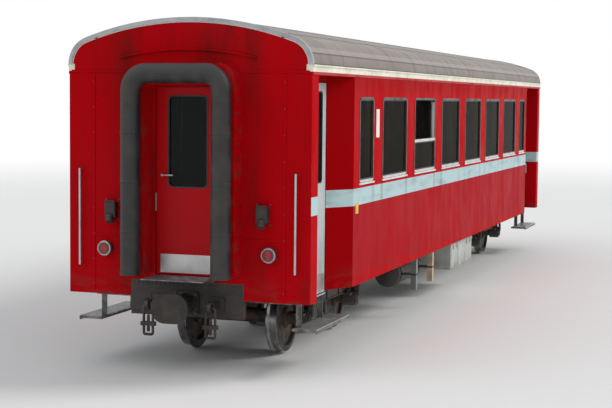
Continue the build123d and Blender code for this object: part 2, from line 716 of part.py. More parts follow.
def hinge_feet():
    """Foot of each hinge up the seam, two knuckles high."""
    margin = 90.0
    room = DOOR_TOP - LEAF_LOW - 2 * margin - 2 * KNUCKLE_LENGTH - SEAT_GAP
    return [LEAF_LOW + margin + index * room / (HINGE_COUNT - 1) for index in range(HINGE_COUNT)]


def first_leaf():
    """The leaf on the turning shaft at the saloon-side jamb, with the lip that closes the seam."""
    shaft = upright(
        SHAFT_FROM_JAMB, SHAFT_V, DOOR_BOTTOM + SEAT_GAP, DOOR_TOP + DOOR_GAP - SEAT_GAP, SHAFT_RADIUS
    )
    lip = block(LEAF_A[1] - 2, LEAF_B[0] - 5, LEAF_IN - 12, LEAF_IN - 3, LEAF_LOW, DOOR_TOP)
    knuckles = [knuckle(LEAF_A[1], z) for z in hinge_feet()]
    return [fused([leaf_panel(LEAF_A), shaft, lip] + knuckles), leaf_pane(LEAF_A)]


def second_leaf():
    """The leaf that hangs on the first one and folds against its outer face."""
    knuckles = [knuckle(LEAF_B[0], z + KNUCKLE_LENGTH + SEAT_GAP) for z in hinge_feet()]
    u = LEAF_B[1] - 55
    grip = rod((u, -12, RAIL + 1420), (u, -12, RAIL + 1600), 8)
    feet = [rod((u, -12, z), (u, LEAF_SETBACK + 5, z), 7) for z in (RAIL + 1430, RAIL + 1590)]
    return [fused([leaf_panel(LEAF_B), grip] + feet + knuckles), leaf_pane(LEAF_B)]


# Bogies
def bogie_beam(x, side):
    """A fabricated side beam, deeper in the middle and cranked up at its ends."""
    half = BEAM_HALF_LENGTH
    outline = [
        (-half, BEAM_LOW + 45), (-half, BEAM_TOP - 25), (-half + 70, BEAM_TOP), (half - 70, BEAM_TOP),
        (half, BEAM_TOP - 25), (half, BEAM_LOW + 45), (half - 70, BEAM_LOW), (520, BEAM_LOW),
        (400, BEAM_LOW - BEAM_DROP), (-400, BEAM_LOW - BEAM_DROP), (-520, BEAM_LOW), (-half + 70, BEAM_LOW),
    ]
    y = side * BEAM_Y
    return side_prism([(x + dx, z) for dx, z in outline], y - BEAM_WIDTH / 2, y + BEAM_WIDTH / 2)


def brake_shoe(x, end, side):
    """A shoe on the inner side of one wheel, on its hanger from the transom."""
    axle = x + end * WHEELBASE / 2
    inner = WHEEL_DIAMETER / 2 + SHOE_GAP
    y0 = WHEEL_BACK + FLANGE_WIDTH + 10
    y1 = WHEEL_BACK + WHEEL_WIDTH - 4
    ring = across_y(axle, AXLE_Z, side * y0, side * y1, inner + SHOE_THICK)
    ring -= across_y(axle, AXLE_Z, side * (y0 - 5), side * (y1 + 5), inner)
    reach = inner + SHOE_THICK + 5
    rise = reach * math.sin(math.radians(SHOE_ARC / 2))
    run = reach * math.cos(math.radians(SHOE_ARC))
    shoe = ring & block(
        axle - end * run, axle - end * (reach + 5), side * y0, side * y1, AXLE_Z - rise, AXLE_Z + rise
    )
    back = axle - end * (inner + SHOE_THICK - 12)
    y = side * (y0 + y1) / 2
    top = x + end * (TRANSOM_X + TRANSOM_WIDTH / 2 - 20)
    hanger = rod((back, y, AXLE_Z), (top, y, BEAM_TOP - 60), 16)
    return shoe + hanger


def bogie_frame(x):
    """Two side beams, two transoms and the centre plate, with the brake shoes and their beams."""
    pieces = [bogie_beam(x, side) for side in (-1, 1)]
    for dx in (-TRANSOM_X, TRANSOM_X):
        pieces.append(block(
            x + dx - TRANSOM_WIDTH / 2, x + dx + TRANSOM_WIDTH / 2, -BEAM_Y, BEAM_Y,
            BEAM_LOW - 40, BEAM_TOP - 20,
        ))
    pieces.append(block(x - TRANSOM_X, x + TRANSOM_X, -240, 240, BEAM_TOP - 70, BEAM_TOP - 10))
    pieces.append(upright(x, 0, BEAM_TOP - 70, BEAM_TOP + CENTRE_PLATE_RISE, CENTRE_PLATE_RADIUS))
    shoe_y = WHEEL_BACK + WHEEL_WIDTH - 30
    for end in (-1, 1):
        beam_radius = 22.0
        back = WHEELBASE / 2 - WHEEL_DIAMETER / 2 - FLANGE_DEPTH - beam_radius - 12
        pieces.append(across_y(x + end * back, AXLE_Z, -shoe_y, shoe_y, beam_radius))
        for side in (-1, 1):
            pieces.append(brake_shoe(x, end, side))
    return fused(pieces)


def axle_box(x, side):
    """A round axle box on one journal, with its cover and the wings that carry two springs."""
    y = side * BEAM_Y
    half = BOX_LENGTH / 2
    body = across_y(x, AXLE_Z, y - half, y + half, BOX_RADIUS)
    wings = block(x - BOX_WING / 2, x + BOX_WING / 2, y - 55, y + 55, WING_TOP - 30, WING_TOP)
    bore = across_y(x, AXLE_Z, y - half - 5, y + half + 5, JOURNAL_RADIUS + JOURNAL_CLEARANCE)
    cover = across_y(x, AXLE_Z, y + side * half, y + side * (half + 18), BOX_RADIUS - 22)
    cap = across_y(x, AXLE_Z, y + side * (half + 18), y + side * (half + 34), BOX_RADIUS - 55)
    return fused([body + wings - bore, cover, cap])


def axle_boxes(x):
    return [axle_box(x + end * WHEELBASE / 2, side) for end in (-1, 1) for side in (-1, 1)]


def spring(x, y):
    """A coil spring drawn as rings on a core, from the axle box wing to the side beam."""
    height = BEAM_LOW - WING_TOP
    seat = 8.0
    step = (height - 2 * seat) / SPRING_COILS
    outline = [(0, 0), (SPRING_RADIUS, 0), (SPRING_RADIUS, seat)]
    inner = SPRING_RADIUS - 2 * SPRING_WIRE
    for index in range(SPRING_COILS):
        z = seat + index * step
        outline += [(inner, z), (SPRING_RADIUS, z + step / 2)]
    outline += [(inner, height - seat), (SPRING_RADIUS, height - seat), (SPRING_RADIUS, height), (0, height)]
    half_section = make_face(Polyline(*[(r, 0, z) for r, z in outline], close=True))
    return Pos(x, y, WING_TOP) * revolve(half_section, axis=Axis.Z)


def springs(x):
    rows = []
    for end in (-1, 1):
        for step in (-SPRING_SPREAD, SPRING_SPREAD):
            for side in (-1, 1):
                rows.append(spring(x + end * WHEELBASE / 2 + step, side * BEAM_Y))
    return rows


def wheelset(x):
    """Two flanged wheels on one axle, with a journal at each end."""
    tread = WHEEL_DIAMETER / 2
    back = WHEEL_BACK
    face = back + WHEEL_WIDTH
    rim = tread - WHEEL_RIM
    end = BEAM_Y + BOX_LENGTH / 2 - 10
    journal = BEAM_Y - BOX_LENGTH / 2 - 15
    section = [
        (0, 0), (0, end), (JOURNAL_RADIUS, end), (JOURNAL_RADIUS, journal), (AXLE_RADIUS, journal),
        (AXLE_RADIUS, face + 12), (HUB_RADIUS, face + 4), (HUB_RADIUS + 6, face - 28),
        (rim, face - 44), (rim, face), (tread, face - 6), (tread, back + FLANGE_WIDTH + 8),
        (tread + FLANGE_DEPTH, back + FLANGE_WIDTH - 12), (tread + FLANGE_DEPTH, back + 8),
        (tread + FLANGE_DEPTH - 10, back), (rim, back), (rim, back + 50),
        (HUB_RADIUS + 6, back + 34), (HUB_RADIUS, back - 10), (AXLE_RADIUS, back - 18), (AXLE_RADIUS, 0),
    ]
    half_set = revolve(make_face(Polyline(*section, close=True)), axis=Axis.Y)
    return Pos(x, 0, AXLE_Z) * (half_set + mirror(half_set, about=Plane.XZ))


# Saloon
def bench_rows():
    """Benches as rows of (x of the line behind the back, way that a rider faces)."""
    rows = []
    for index in range(WINDOW_COUNT):
        start = -BENCH_EDGE + index * WINDOW_PITCH
        rows += [(start, 1), (start + WINDOW_PITCH, -1)]
    return rows


def bench_spans():
    """Y from wall side to aisle side of the benches, for the right and the left side."""
    near = INNER_Y - SEAT_FROM_WALL
    return [(-near, -near + SEAT_WIDTH), (near - SEAT_WIDTH, near)]


def cushion(x, facing, span):
    """A seat cushion with a rounded front edge."""
    back = BACK_TO_BACK + SEAT_BACK_THICK + SEAT_BACK_LEAN + SEAT_GAP
    low = FLOOR_TOP + SEAT_HEIGHT - CUSHION_THICK
    x0, x1 = sorted((x + facing * back, x + facing * (BACK_TO_BACK + SEAT_DEPTH)))
    body = block(x0, x1, span[0], span[1], low, low + CUSHION_THICK)
    front = body.edges().filter_by(Axis.Y).sort_by(lambda edge: facing * edge.center().X)[-2:]
    return fillet(front, 40)


def seat_back(x, facing, span):
    """A backrest that leans back towards its top, for two riders."""
    low = FLOOR_TOP + SEAT_HEIGHT - CUSHION_THICK
    top = FLOOR_TOP + SEAT_BACK_TOP
    points = [
        (BACK_TO_BACK, low), (BACK_TO_BACK + SEAT_BACK_LEAN + SEAT_BACK_THICK, low),
        (BACK_TO_BACK + SEAT_BACK_LEAN + SEAT_BACK_THICK, low + CUSHION_THICK),
        (BACK_TO_BACK + SEAT_BACK_THICK, top - 40), (BACK_TO_BACK + SEAT_BACK_THICK - 25, top),
        (BACK_TO_BACK, top),
    ]
    return side_prism([(x + facing * dx, z) for dx, z in points], span[0], span[1])


def seat_frame(x, facing, span):
    """The beam from the side wall under a bench, on one foot near the aisle."""
    low = FLOOR_TOP + SEAT_HEIGHT - CUSHION_THICK
    side = 1 if span[1] > 0 else -1
    wall = side * INNER_Y
    aisle = side * (INNER_Y - SEAT_FROM_WALL - SEAT_WIDTH + 120)
    x0 = x + facing * (BACK_TO_BACK + 60)
    x1 = x + facing * (BACK_TO_BACK + SEAT_DEPTH - 90)
    beam = block(x0, x1, wall, aisle, low - 45, low)
    foot = block(x0 + facing * 60, x1 - facing * 60, aisle, aisle + side * 40, FLOOR_TOP, low)
    return beam + foot


def partition():
    """The cross wall between saloon and entrance, with its passage."""
    x0 = PARTITION_X - PARTITION_THICK / 2
    x1 = PARTITION_X + PARTITION_THICK / 2
    wall = block(x0, x1, -INNER_Y, INNER_Y, FLOOR_TOP, ROOF_START)
    wall += along_x(roof_profile(ROOF_THICK + SEAT_GAP), x0, x1)
    half = PARTITION_PASSAGE / 2
    return wall - block(x0 - 5, x1 + 5, -half, half, FLOOR_TOP - 5, PARTITION_HEAD)


def bay_table(index, side):
    """A wall table between two facing benches, on one bracket."""
    x = (index - (WINDOW_COUNT - 1) / 2) * WINDOW_PITCH
    top = FLOOR_TOP + TABLE_TOP
    wall = side * INNER_Y
    board = block(x - 200, x + 200, wall, wall - side * 330, top - 22, top)
    bracket = block(x - 12, x + 12, wall, wall - side * 200, top - 60, top - 22)
    return board + bracket


def luggage_rack():
    """The shelf above the windows, with its raised front rail."""
    length = PARTITION_X - PARTITION_THICK / 2
    low = WINDOW_HEAD + RACK_ABOVE_WINDOW
    shelf = block(-length, length, -INNER_Y, -INNER_Y + RACK_DEPTH, low, low + 20)
    rail = block(-length, length, -INNER_Y + RACK_DEPTH - 22, -INNER_Y + RACK_DEPTH, low, low + 50)
    return shelf + rail


def ceiling_lamps():
    """Lamp boxes in two rows under the ceiling."""
    lamps = []
    half = 60.0
    for index in range(WINDOW_COUNT):
        x = (index - (WINDOW_COUNT - 1) / 2) * WINDOW_PITCH
        for side in (-1, 1):
            y = side * LAMP_Y
            top = roof_height(LAMP_Y + half, ROOF_THICK) - SEAT_GAP
            reach = LAMP_LENGTH / 2
            lamps.append(block(x - reach, x + reach, y - half, y + half, top - 45, top))
    return lamps


# Underfloor gear
def battery_case():
    """A light grey case hung below the right side sill, with its lid's edge."""
    top = FLOOR_BOTTOM - SIDE_SILL_DEPTH
    y0 = -INNER_Y + 10
    y1 = y0 + CASE_DEPTH
    x0 = CASE_X - CASE_LENGTH / 2
    x1 = CASE_X + CASE_LENGTH / 2
    case = block(x0, x1, y0, y1, CASE_FOOT, top - 60)
    lid = block(x0 - 12, x1 + 12, y0 - 8, y1 + 12, top - 110, top - 85)
    hangers = [block(x - 30, x + 30, y0 + 5, y0 + 65, top - 70, top) for x in (x0 + 150, x1 - 150)]
    ribs = [block(x - 8, x + 8, y0 - 8, y0 + 4, CASE_FOOT + 20, top - 110) for x in (x0 + 490, x1 - 490)]
    return fused([case, lid] + hangers + ribs)


def converter_case():
    """A case under the left side, clear of the tank."""
    top = FLOOR_BOTTOM - SIDE_SILL_DEPTH
    y1 = INNER_Y - 10
    case = block(-1750, -350, y1 - 500, y1, RAIL + 380, top - 60)
    hangers = [block(x - 30, x + 30, y1 - 65, y1 - 5, top - 70, top) for x in (-1600, -500)]
    return fused([case] + hangers)


def tank(x, y):
    """An air tank with domed ends, lying along the coach."""
    half = TANK_LENGTH / 2
    dome = 60.0
    bulge = (dome ** 2 + TANK_RADIUS ** 2) / (2 * dome)
    turn = math.asin(TANK_RADIUS / bulge) / 2
    middle = (half - bulge + bulge * math.cos(turn), bulge * math.sin(turn))
    outline = [
        Line((-half, 0), (half, 0)),
        ThreePointArc((half, 0), middle, (half - dome, TANK_RADIUS)),
        Line((half - dome, TANK_RADIUS), (-half + dome, TANK_RADIUS)),
        ThreePointArc((-half + dome, TANK_RADIUS), (-middle[0], middle[1]), (-half, 0)),
    ]
    return Pos(x, y, TANK_Z) * revolve(make_face(outline), axis=Axis.X)


def tank_strap(x, side):
    """A steel strap round the tank, held by an angle that hangs from the side sill."""
    y = side * TANK_Y
    outer = TANK_RADIUS + STRAP_THICK + SEAT_GAP
    half = STRAP_WIDTH / 2
    ring = Pos(x, y, TANK_Z) * Rot(0, 90, 0) * Cylinder(outer, STRAP_WIDTH)
    leg_y = side * (INNER_Y - SIDE_SILL_WIDTH / 2)
    leg_out = leg_y + side * STRAP_LEG_DEPTH / 2
    leg_in = leg_y - side * STRAP_LEG_DEPTH / 2
    low = TANK_Z - STRAP_LEG_DROP
    top = FLOOR_BOTTOM - SIDE_SILL_DEPTH
    web = block(x - half, x + half, leg_out - side * STRAP_LEG_SHEET, leg_out, low, top)
    flange = block(x + side * half, x + side * (half - STRAP_LEG_SHEET), leg_in, leg_out, low, top)
    arm = block(
        x - half, x + half, leg_out, y + side * (TANK_RADIUS - 20),
        TANK_Z - STRAP_ARM_THICK / 2, TANK_Z + STRAP_ARM_THICK / 2,
    )
    bore = Pos(x, y, TANK_Z) * Rot(0, 90, 0) * Cylinder(TANK_RADIUS + SEAT_GAP, STRAP_WIDTH + 10)
    return fused([ring, web, flange, arm]) - bore


def brake_cylinder(x):
    """A vacuum brake cylinder on its bracket under the grid."""
    top = FLOOR_BOTTOM - GRID_DEPTH + 20
    body = upright(x, 0, RAIL + 400, RAIL + 700, CYLINDER_RADIUS)
    cap = upright(x, 0, RAIL + 370, RAIL + 400, CYLINDER_RADIUS - 60)
    bracket = block(x - 60, x + 60, -150, 150, RAIL + 690, top)
    return fused([body, cap, bracket])


# End fittings
def end_lamp(y):
    """A round marker lamp on the end wall."""
    case = rod((HALF_LENGTH, y, RAIL + 1230), (HALF_LENGTH + 55, y, RAIL + 1230), 75)
    lens = rod((HALF_LENGTH + 55, y, RAIL + 1230), (HALF_LENGTH + 68, y, RAIL + 1230), 62)
    return case + lens


def end_rail(y):
    """An upright grab rail on the end wall."""
    x = HALF_LENGTH + 55
    low = RAIL + 1050
    high = RAIL + 2050
    grip = rod((x, y, low), (x, y, high), 13)
    feet = [rod((HALF_LENGTH, y, z), (x, y, z), 11) for z in (low + 12, high - 12)]
    return fused([grip] + feet)


os.makedirs("parts", exist_ok=True)

# Nodes of the coach body
right_wall = side_wall()
right_frames = [window_frame(*row) for row in window_rows(DROPPED_WINDOW)]
right_panes = [window_pane(*row) for row in window_rows(DROPPED_WINDOW)]
left_frames = [mirror(window_frame(*row), about=Plane.XZ) for row in window_rows(None)]
left_panes = [mirror(window_pane(*row), about=Plane.XZ) for row in window_rows(None)]
front_wall = end_wall()
benches = [(x, facing, span) for x, facing in bench_rows() for span in bench_spans()]

save("side_wall_right", right_wall)
save("side_wall_left", mirror(right_wall, about=Plane.XZ))
save("end_wall_front", front_wall)
save("end_wall_rear", mirror(front_wall, about=Plane.YZ))
save("roof", roof())
save("eave_strips", both_sides(eave_strip()))
save("window_frames_right", right_frames)
save("window_frames_left", left_frames)
save("window_glass_right", right_panes)
save("window_glass_left", left_panes)
save("floor", floor())
save("step_wells", four_corners(step_well()))
save("footsteps", four_corners(footstep()))
save("underframe", underframe())
save("side_sills", both_sides(side_sill()))
save("headstocks", both_ends(headstock()))
save("centre_buffers", both_ends(centre_buffer()))
save("draw_hooks", [hook for y in (-HOOK_Y, HOOK_Y) for hook in both_ends(draw_hook(y))])
save("screw_links", [link for y in (-HOOK_Y, HOOK_Y) for link in both_ends(screw_link(y))])
save("gangway_frames", both_ends(gangway_frame()))
save("gangway_tubes", both_ends(gangway_tube()))
save("gangway_plates", both_ends(gangway_plate()))
save("partitions", both_ends(partition()))
save("seat_cushions", [cushion(*bench) for bench in benches])
save("seat_backs", [seat_back(*bench) for bench in benches])
save("seat_frames", [seat_frame(*bench) for bench in benches])
save("tables", [bay_table(index, side) for index in range(WINDOW_COUNT) for side in (-1, 1)])
save("luggage_racks", both_sides(luggage_rack()))
save("ceiling_lamps", ceiling_lamps())
save("battery_case", battery_case())
save("converter_case", converter_case())
save("air_tanks", [tank(TANK_X, -TANK_Y), tank(-TANK_X, TANK_Y)])
save("tank_straps", [
    tank_strap(end * TANK_X + step, -end) for end in (1, -1) for step in (-STRAP_SPREAD, STRAP_SPREAD)
])
save("brake_cylinders", both_ends(brake_cylinder(BEARER_PITCH)))
save("end_lamps", four_corners(end_lamp(HALF_WIDTH - END_LAMP_FROM_SIDE)))
save("end_rails", four_corners(end_rail(HALF_WIDTH - END_RAIL_FROM_SIDE)))

# Bogies and wheelsets
for end_name, end in (("front", 1), ("rear", -1)):
    centre = end * BOGIE_CENTRE
    save("bogie_frame_" + end_name, bogie_frame(centre))
    save("axle_boxes_" + end_name, axle_boxes(centre))
    save("springs_" + end_name, springs(centre))
    save("wheelset_" + end_name + "_outer", wheelset(centre + end * WHEELBASE / 2))
    save("wheelset_" + end_name + "_inner", wheelset(centre - end * WHEELBASE / 2))

# Doors, each leaf with its pane
for leaf_name, leaf in (("door_leaf_a", first_leaf()), ("door_leaf_b", second_leaf())):
    right = [at_doorway(piece) for piece in leaf]
    left = [mirror(piece, about=Plane.XZ) for piece in right]
    save(leaf_name + "_front_right", right)
    save(leaf_name + "_front_left", left)
    save(leaf_name + "_rear_right", [mirror(piece, about=Plane.YZ) for piece in right])
    save(leaf_name + "_rear_left", [mirror(piece, about=Plane.YZ) for piece in left])
front_door = end_door()
save("end_door_front", front_door)
save("end_door_rear", [Rot(0, 0, 180) * piece for piece in front_door])
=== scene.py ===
from math import atan2, cos, pi, radians, sin

import bmesh
import bpy
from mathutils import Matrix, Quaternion, Vector


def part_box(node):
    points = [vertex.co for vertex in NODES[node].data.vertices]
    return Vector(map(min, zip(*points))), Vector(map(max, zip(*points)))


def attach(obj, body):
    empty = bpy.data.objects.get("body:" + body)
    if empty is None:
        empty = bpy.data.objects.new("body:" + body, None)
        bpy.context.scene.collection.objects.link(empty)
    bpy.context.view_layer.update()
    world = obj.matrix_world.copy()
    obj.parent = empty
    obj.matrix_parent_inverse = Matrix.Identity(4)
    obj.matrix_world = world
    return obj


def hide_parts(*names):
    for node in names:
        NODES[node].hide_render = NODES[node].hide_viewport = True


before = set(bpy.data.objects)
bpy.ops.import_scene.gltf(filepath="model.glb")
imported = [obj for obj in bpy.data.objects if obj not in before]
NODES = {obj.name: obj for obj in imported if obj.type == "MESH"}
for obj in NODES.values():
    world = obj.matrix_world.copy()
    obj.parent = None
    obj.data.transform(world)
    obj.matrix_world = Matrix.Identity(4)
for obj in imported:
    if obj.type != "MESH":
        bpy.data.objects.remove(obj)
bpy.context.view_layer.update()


def reach(node, axis, end=1):
    """How far a CAD node goes along an axis: its highest coordinate, or with end 0 its lowest."""
    return round(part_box(node)[end]["xyz".index(axis)], 5)


def middle(node, axis):
    return (reach(node, axis) + reach(node, axis, 0)) / 2


# The clearance round a seated piece, in metres like all sizes
SEAT_GAP = 0.0003

# Sizes taken from the frame
AXLE_Z = middle("wheelset_front_outer", "z")
RAIL = AXLE_Z - 0.375
WHEELBASE = middle("wheelset_front_outer", "x") - middle("wheelset_front_inner", "x")
BOGIE_X = middle("wheelset_front_outer", "x") - WHEELBASE / 2
BEAM_Y = reach("bogie_frame_front", "y") - 0.055
SPRING_FOOT = reach("springs_front", "z", 0)
SPRING_TOP = reach("springs_front", "z")
END_X = reach("roof", "x")
SIDE_Y = reach("side_wall_left", "y")
SIDE_END = reach("side_wall_left", "x")
SKIRT = reach("side_wall_left", "z", 0)
WALL_TOP = reach("side_wall_left", "z")
ROOF_START = reach("roof", "z", 0)
FLOOR_TOP = reach("floor", "z")
SILL = reach("window_frames_left", "z", 0) - SEAT_GAP
HEAD = reach("window_frames_left", "z") + SEAT_GAP
DOOR_END = reach("door_leaf_b_front_left", "x") + 0.006
DOOR_LOW = reach("door_leaf_b_front_left", "z", 0)
DOOR_TOP = reach("door_leaf_b_front_left", "z")

# Sizes that the frame doesn't tell by itself
DOOR_WIDTH = 0.9
DOOR_X = DOOR_END - DOOR_WIDTH
DOOR_Y = SIDE_Y - 0.2
POST_X = END_X - 0.21
BAND_LOW = RAIL + 1.632
BAND_HIGH = RAIL + 1.817
ROOF_TOP = ROOF_START + 0.465
CROWN = 3.3244
EDGE_RADIUS = 0.28
EDGE_LAP = 3.275
RIB_SPACING = 0.33
SHEET = 1.5
PITCH = 1.525
WINDOW = 1.135
SMALL = 0.578
SMALL_X = 5.047
LOWERED_X = -1.5 * PITCH
LOWERED_TOP = SILL + 0.414
SASH_RAIL = 0.034
END_DOOR_OUT = END_X - 0.020
END_DOOR_IN = END_X - 0.055
LAMP_Y = 0.9
LAMP_Z = RAIL + 1.23
BUFFER_Z = RAIL + 0.7
LEAVES = {"a": (0.006, 0.442), "b": (0.458, 0.894)}
ENDS = ((1, "front"), (-1, "rear"))
SIDES = ((-1, "right"), (1, "left"))

# Colours as picked on a screen, 0 to 255
RED = (186, 8, 18)
RED_DARK = (148, 5, 10)
RED_MILKY = (186, 20, 28)
RED_FADED = (163, 33, 41)
# RED_SHADED is painted shade, used in the doorways and under the eave
RED_SHADED = (138, 3, 6)
RED_DIRTY = (104, 26, 24)
BAND = (183, 209, 212)
BAND_WORN = (156, 176, 177)
LINING = (214, 209, 196)
GRIME = (92, 74, 66)
PANE = (24, 31, 30)


# Materials
def linear(color):
    """A colour picked on a screen, as the renderer wants it."""
    parts = [v / 255 for v in color]
    return [v / 12.92 if v <= 0.04045 else ((v + 0.055) / 1.055) ** 2.4 for v in parts] + [1.0]


def feed(tree, socket, value):
    """Link an input or set it; a colour of three numbers is one picked on a screen."""
    if isinstance(value, bpy.types.NodeSocket):
        tree.links.new(value, socket)
    elif socket.type == "RGBA" and len(value) == 3:
        socket.default_value = linear(value)
    else:
        socket.default_value = value


def add_node(tree, kind, values, **settings):
    """Make a shader node, with values for its inputs by name or number; gives its outputs."""
    node = tree.nodes.new("ShaderNode" + kind)
    for name, value in settings.items():
        setattr(node, name, value)
    for socket, value in values.items():
        feed(tree, node.inputs[socket], value)
    return node.outputs


class Paint:
    """A node material built up from coordinates, noises and masks."""

    def __init__(self, name):
        self.mat = bpy.data.materials.new(name)
        self.mat.use_nodes = True
        self.tree = self.mat.node_tree
        self.tree.nodes.clear()
        self.shader = self.tree.nodes.new("ShaderNodeBsdfPrincipled")
        self.coords = self.node("TexCoord", {})["Object"]
        self.x, self.y, self.z = self.node("SeparateXYZ", {0: self.coords})
        self.ax, self.ay = self.math("ABSOLUTE", self.x), self.math("ABSOLUTE", self.y)
        self.relief = None

    def node(self, kind, values, **settings):
        return add_node(self.tree, kind, values, **settings)

    def math(self, kind, a, b=0.0):
        return self.node("Math", {0: a, 1: b}, operation=kind)[0]

    def mul(self, *values):
        result = values[0]
        for value in values[1:]:
            result = self.math("MULTIPLY", result, value)
        return result

    def minus(self, a, b):
        return self.math("SUBTRACT", a, b)

    def off(self, a, b):
        """How far a is from b."""
        return self.math("ABSOLUTE", self.minus(a, b))

    def most(self, a, b):
        return self.math("MAXIMUM", a, b)

    def above(self, a, limit):
        return self.math("GREATER_THAN", a, limit)

    def below(self, a, limit):
        return self.math("LESS_THAN", a, limit)

    def between(self, a, low, high):
        return self.mul(self.above(a, low), self.below(a, high))

    def radius(self, a, b):
        """How far a point with these two coordinates is from the middle."""
        squares = self.math("ADD", self.math("POWER", a, 2.0), self.math("POWER", b, 2.0))
        return self.math("SQRT", squares)

    def from_middle(self, a, spacing):
        """Where a is in its span, from 0 in the span's middle to 0.5 at both ends."""
        return self.off(self.math("FRACT", self.math("DIVIDE", a, spacing)), 0.5)

    def fade(self, a, low, high):
        """0 at low, 1 at high, smooth in between."""
        return self.node("MapRange", {0: a, 1: low, 2: high}, interpolation_type="SMOOTHSTEP")[0]

    def noise(self, scale, detail, stretch=None):
        at = self.node("Mapping", {0: self.coords, "Scale": stretch})[0] if stretch else self.coords
        return self.node("TexNoise", {0: at, "Scale": scale, "Detail": detail, "Roughness": 0.55})[0]

    def patches(self, scale, detail, low, high, stretch=None):
        """Soft patches of noise, 0 where it is low and 1 where it is high."""
        return self.fade(self.noise(scale, detail, stretch), low, high)

    def wave(self, scale, axis):
        return self.node("TexWave", {0: self.coords, "Scale": scale}, bands_direction=axis)["Fac"]

    def mix(self, amount, a, b):
        """A colour between a and b."""
        return self.node("Mix", {0: amount, 6: a, 7: b}, data_type="RGBA")[2]

    def blend(self, amount, a, b):
        """A number between a and b."""
        return self.node("Mix", {0: amount, 2: a, 3: b})[0]

    def cover(self, color, over, *amounts):
        """A colour with another laid over it, as much as the product of the amounts."""
        return self.mix(self.mul(*amounts), color, over)

    def bump(self, height, distance, strength):
        """Relief, on top of the relief so far."""
        values = {"Height": height, "Distance": distance, "Strength": strength}
        if self.relief:
            values["Normal"] = self.relief
        self.relief = self.node("Bump", values)[0]

    def done(self, color, rough, shine=0.5, glow=None, **sockets):
        """Finish the material; glow says where it gives way to plain white light."""
        sockets.update(Base_Color=color, Roughness=rough, Specular_IOR_Level=shine)
        if self.relief:
            sockets["Normal"] = self.relief
        for name, value in sockets.items():
            feed(self.tree, self.shader.inputs[name.replace("_", " ")], value)
        surface = self.shader.outputs[0]
        if glow:
            light = self.node("Emission", {})[0]
            surface = self.node("MixShader", {0: glow, 1: surface, 2: light})[0]
        self.node("OutputMaterial", {0: surface})
        return self.mat


def red_paint(p):
    """Red with large cloudy change and faint upright streaks, as on washed coach paint."""
    color = p.cover(RED, RED_MILKY, p.patches(0.55, 3.0, 0.35, 0.7), 0.6)
    return p.cover(color, RED_DARK, p.patches(2.2, 4.0, 0.52, 0.8, (1, 1, 0.10)), 0.35)


def side_paint(p, grime):
    """The outside: faded and dirty red, darker with painted shade in the doorways and at the top, with
    the grey band.
    """
    ax, ay, z = p.ax, p.ay, p.z
    side = p.below(ax, SIDE_END + 0.001)
    washed = p.blend(p.patches(1.5, 5.0, 0.25, 0.8, (1, 1, 0.16)), 0.45, 0.95)
    low = p.mul(p.below(z, BAND_LOW), p.fade(z, SKIRT + 0.02, SKIRT + 0.2))
    color = p.cover(red_paint(p), RED_FADED, low, washed, side)
    # Painted shade, with some grime: the doorway recesses under the roof's overhang turn towards
    # RED_SHADED
    doorway = p.mul(p.between(ax, SIDE_END + 0.001, POST_X - 0.0005), p.between(ay, 1.0, SIDE_Y - 0.0005))
    color = p.cover(color, RED_SHADED, doorway, p.below(z, WALL_TOP), 0.7)
    # Painted shade, with some grime: the side darkens towards the top, under the eave
    color = p.cover(color, RED_SHADED, p.fade(z, HEAD - 0.05, WALL_TOP - 0.08), side, 0.45)
    band = p.mix(p.patches(3.0, 4.0, 0.45, 0.75, (0.4, 1, 2)), BAND, BAND_WORN)
    color = p.cover(color, band, p.between(z, BAND_LOW, BAND_HIGH), p.below(ax, END_X - 0.002))
    across = p.from_middle(p.x, PITCH)
    corner = p.fade(p.off(p.mul(across, PITCH), WINDOW / 2), 0.10, 0.0)
    run = p.mul(corner, p.fade(z, BAND_LOW - 0.45, SILL), p.below(z, SILL), p.below(ax, 5.5))
    color = p.cover(color, RED_DIRTY, run, p.patches(9.0, 3.0, 0.36, 0.68, (1, 1, 0.12)), 0.42)
    joint = p.mul(p.fade(across, 0.494, 0.5), p.below(z, BAND_LOW - 0.03), p.below(ax, 5.5))
    color = p.cover(color, RED_DIRTY, joint, 0.5)
    by_tube = p.most(p.fade(ay, 0.98, 0.60), p.fade(z, 1.35, 0.85))
    soot = p.patches(3.2, 6.0, 0.36, 0.72, (1, 1, 0.30))
    color = p.cover(color, RED_DIRTY, p.above(ax, END_X - 0.003), soot, p.blend(by_tube, 0.22, 0.75))
    return p.cover(color, GRIME, grime)


def body_material():
    """Coach paint outside, with road grime along the skirt, and pale lining inside."""
    p = Paint("body_paint")
    dirt = p.patches(5.0, 6.0, 0.4, 0.75, (0.6, 0.6, 1.6))
    grime = p.mul(p.fade(p.z, SKIRT + 0.3, SKIRT - 0.02), dirt, 0.45)
    slant = p.below(p.ax, p.math("ADD", 5.524, p.mul(p.minus(SIDE_Y - 0.0594, p.ay), 1.7)))
    corner = p.mul(p.below(p.ay, 1.288), p.most(p.above(p.ax, POST_X + 0.0592), slant))
    inner = p.mul(p.most(p.below(p.ay, DOOR_Y - 0.0588), corner), p.below(p.ax, END_X - 0.0588))
    lining = p.mix(p.patches(30.0, 3.0, 0.4, 0.7), LINING, (202, 196, 183))
    gloss = p.blend(p.patches(5.0, 5.0, 0.3, 0.7, (1, 1, 0.4)), 0.30, 0.50)
    p.bump(p.noise(1.6, 2.0, (1, 1, 0.7)), 0.006, 0.35)
    p.bump(p.noise(220.0, 2.0), 0.0002, 0.25)
    rough = p.blend(p.most(grime, p.mul(inner, 0.4)), gloss, 0.7)
    return p.done(p.mix(inner, side_paint(p, grime), lining), rough, shine=0.005)


def portal_material():
    """Red with soot, for the frame round the passage."""
    p = Paint("end_frame_paint")
    soot = p.patches(5.0, 6.0, 0.45, 0.75)
    p.bump(p.noise(180.0, 2.0), 0.0003, 0.3)
    color = p.cover(red_paint(p), GRIME, soot, 0.4)
    return p.done(color, p.blend(soot, 0.35, 0.65), shine=0.08)


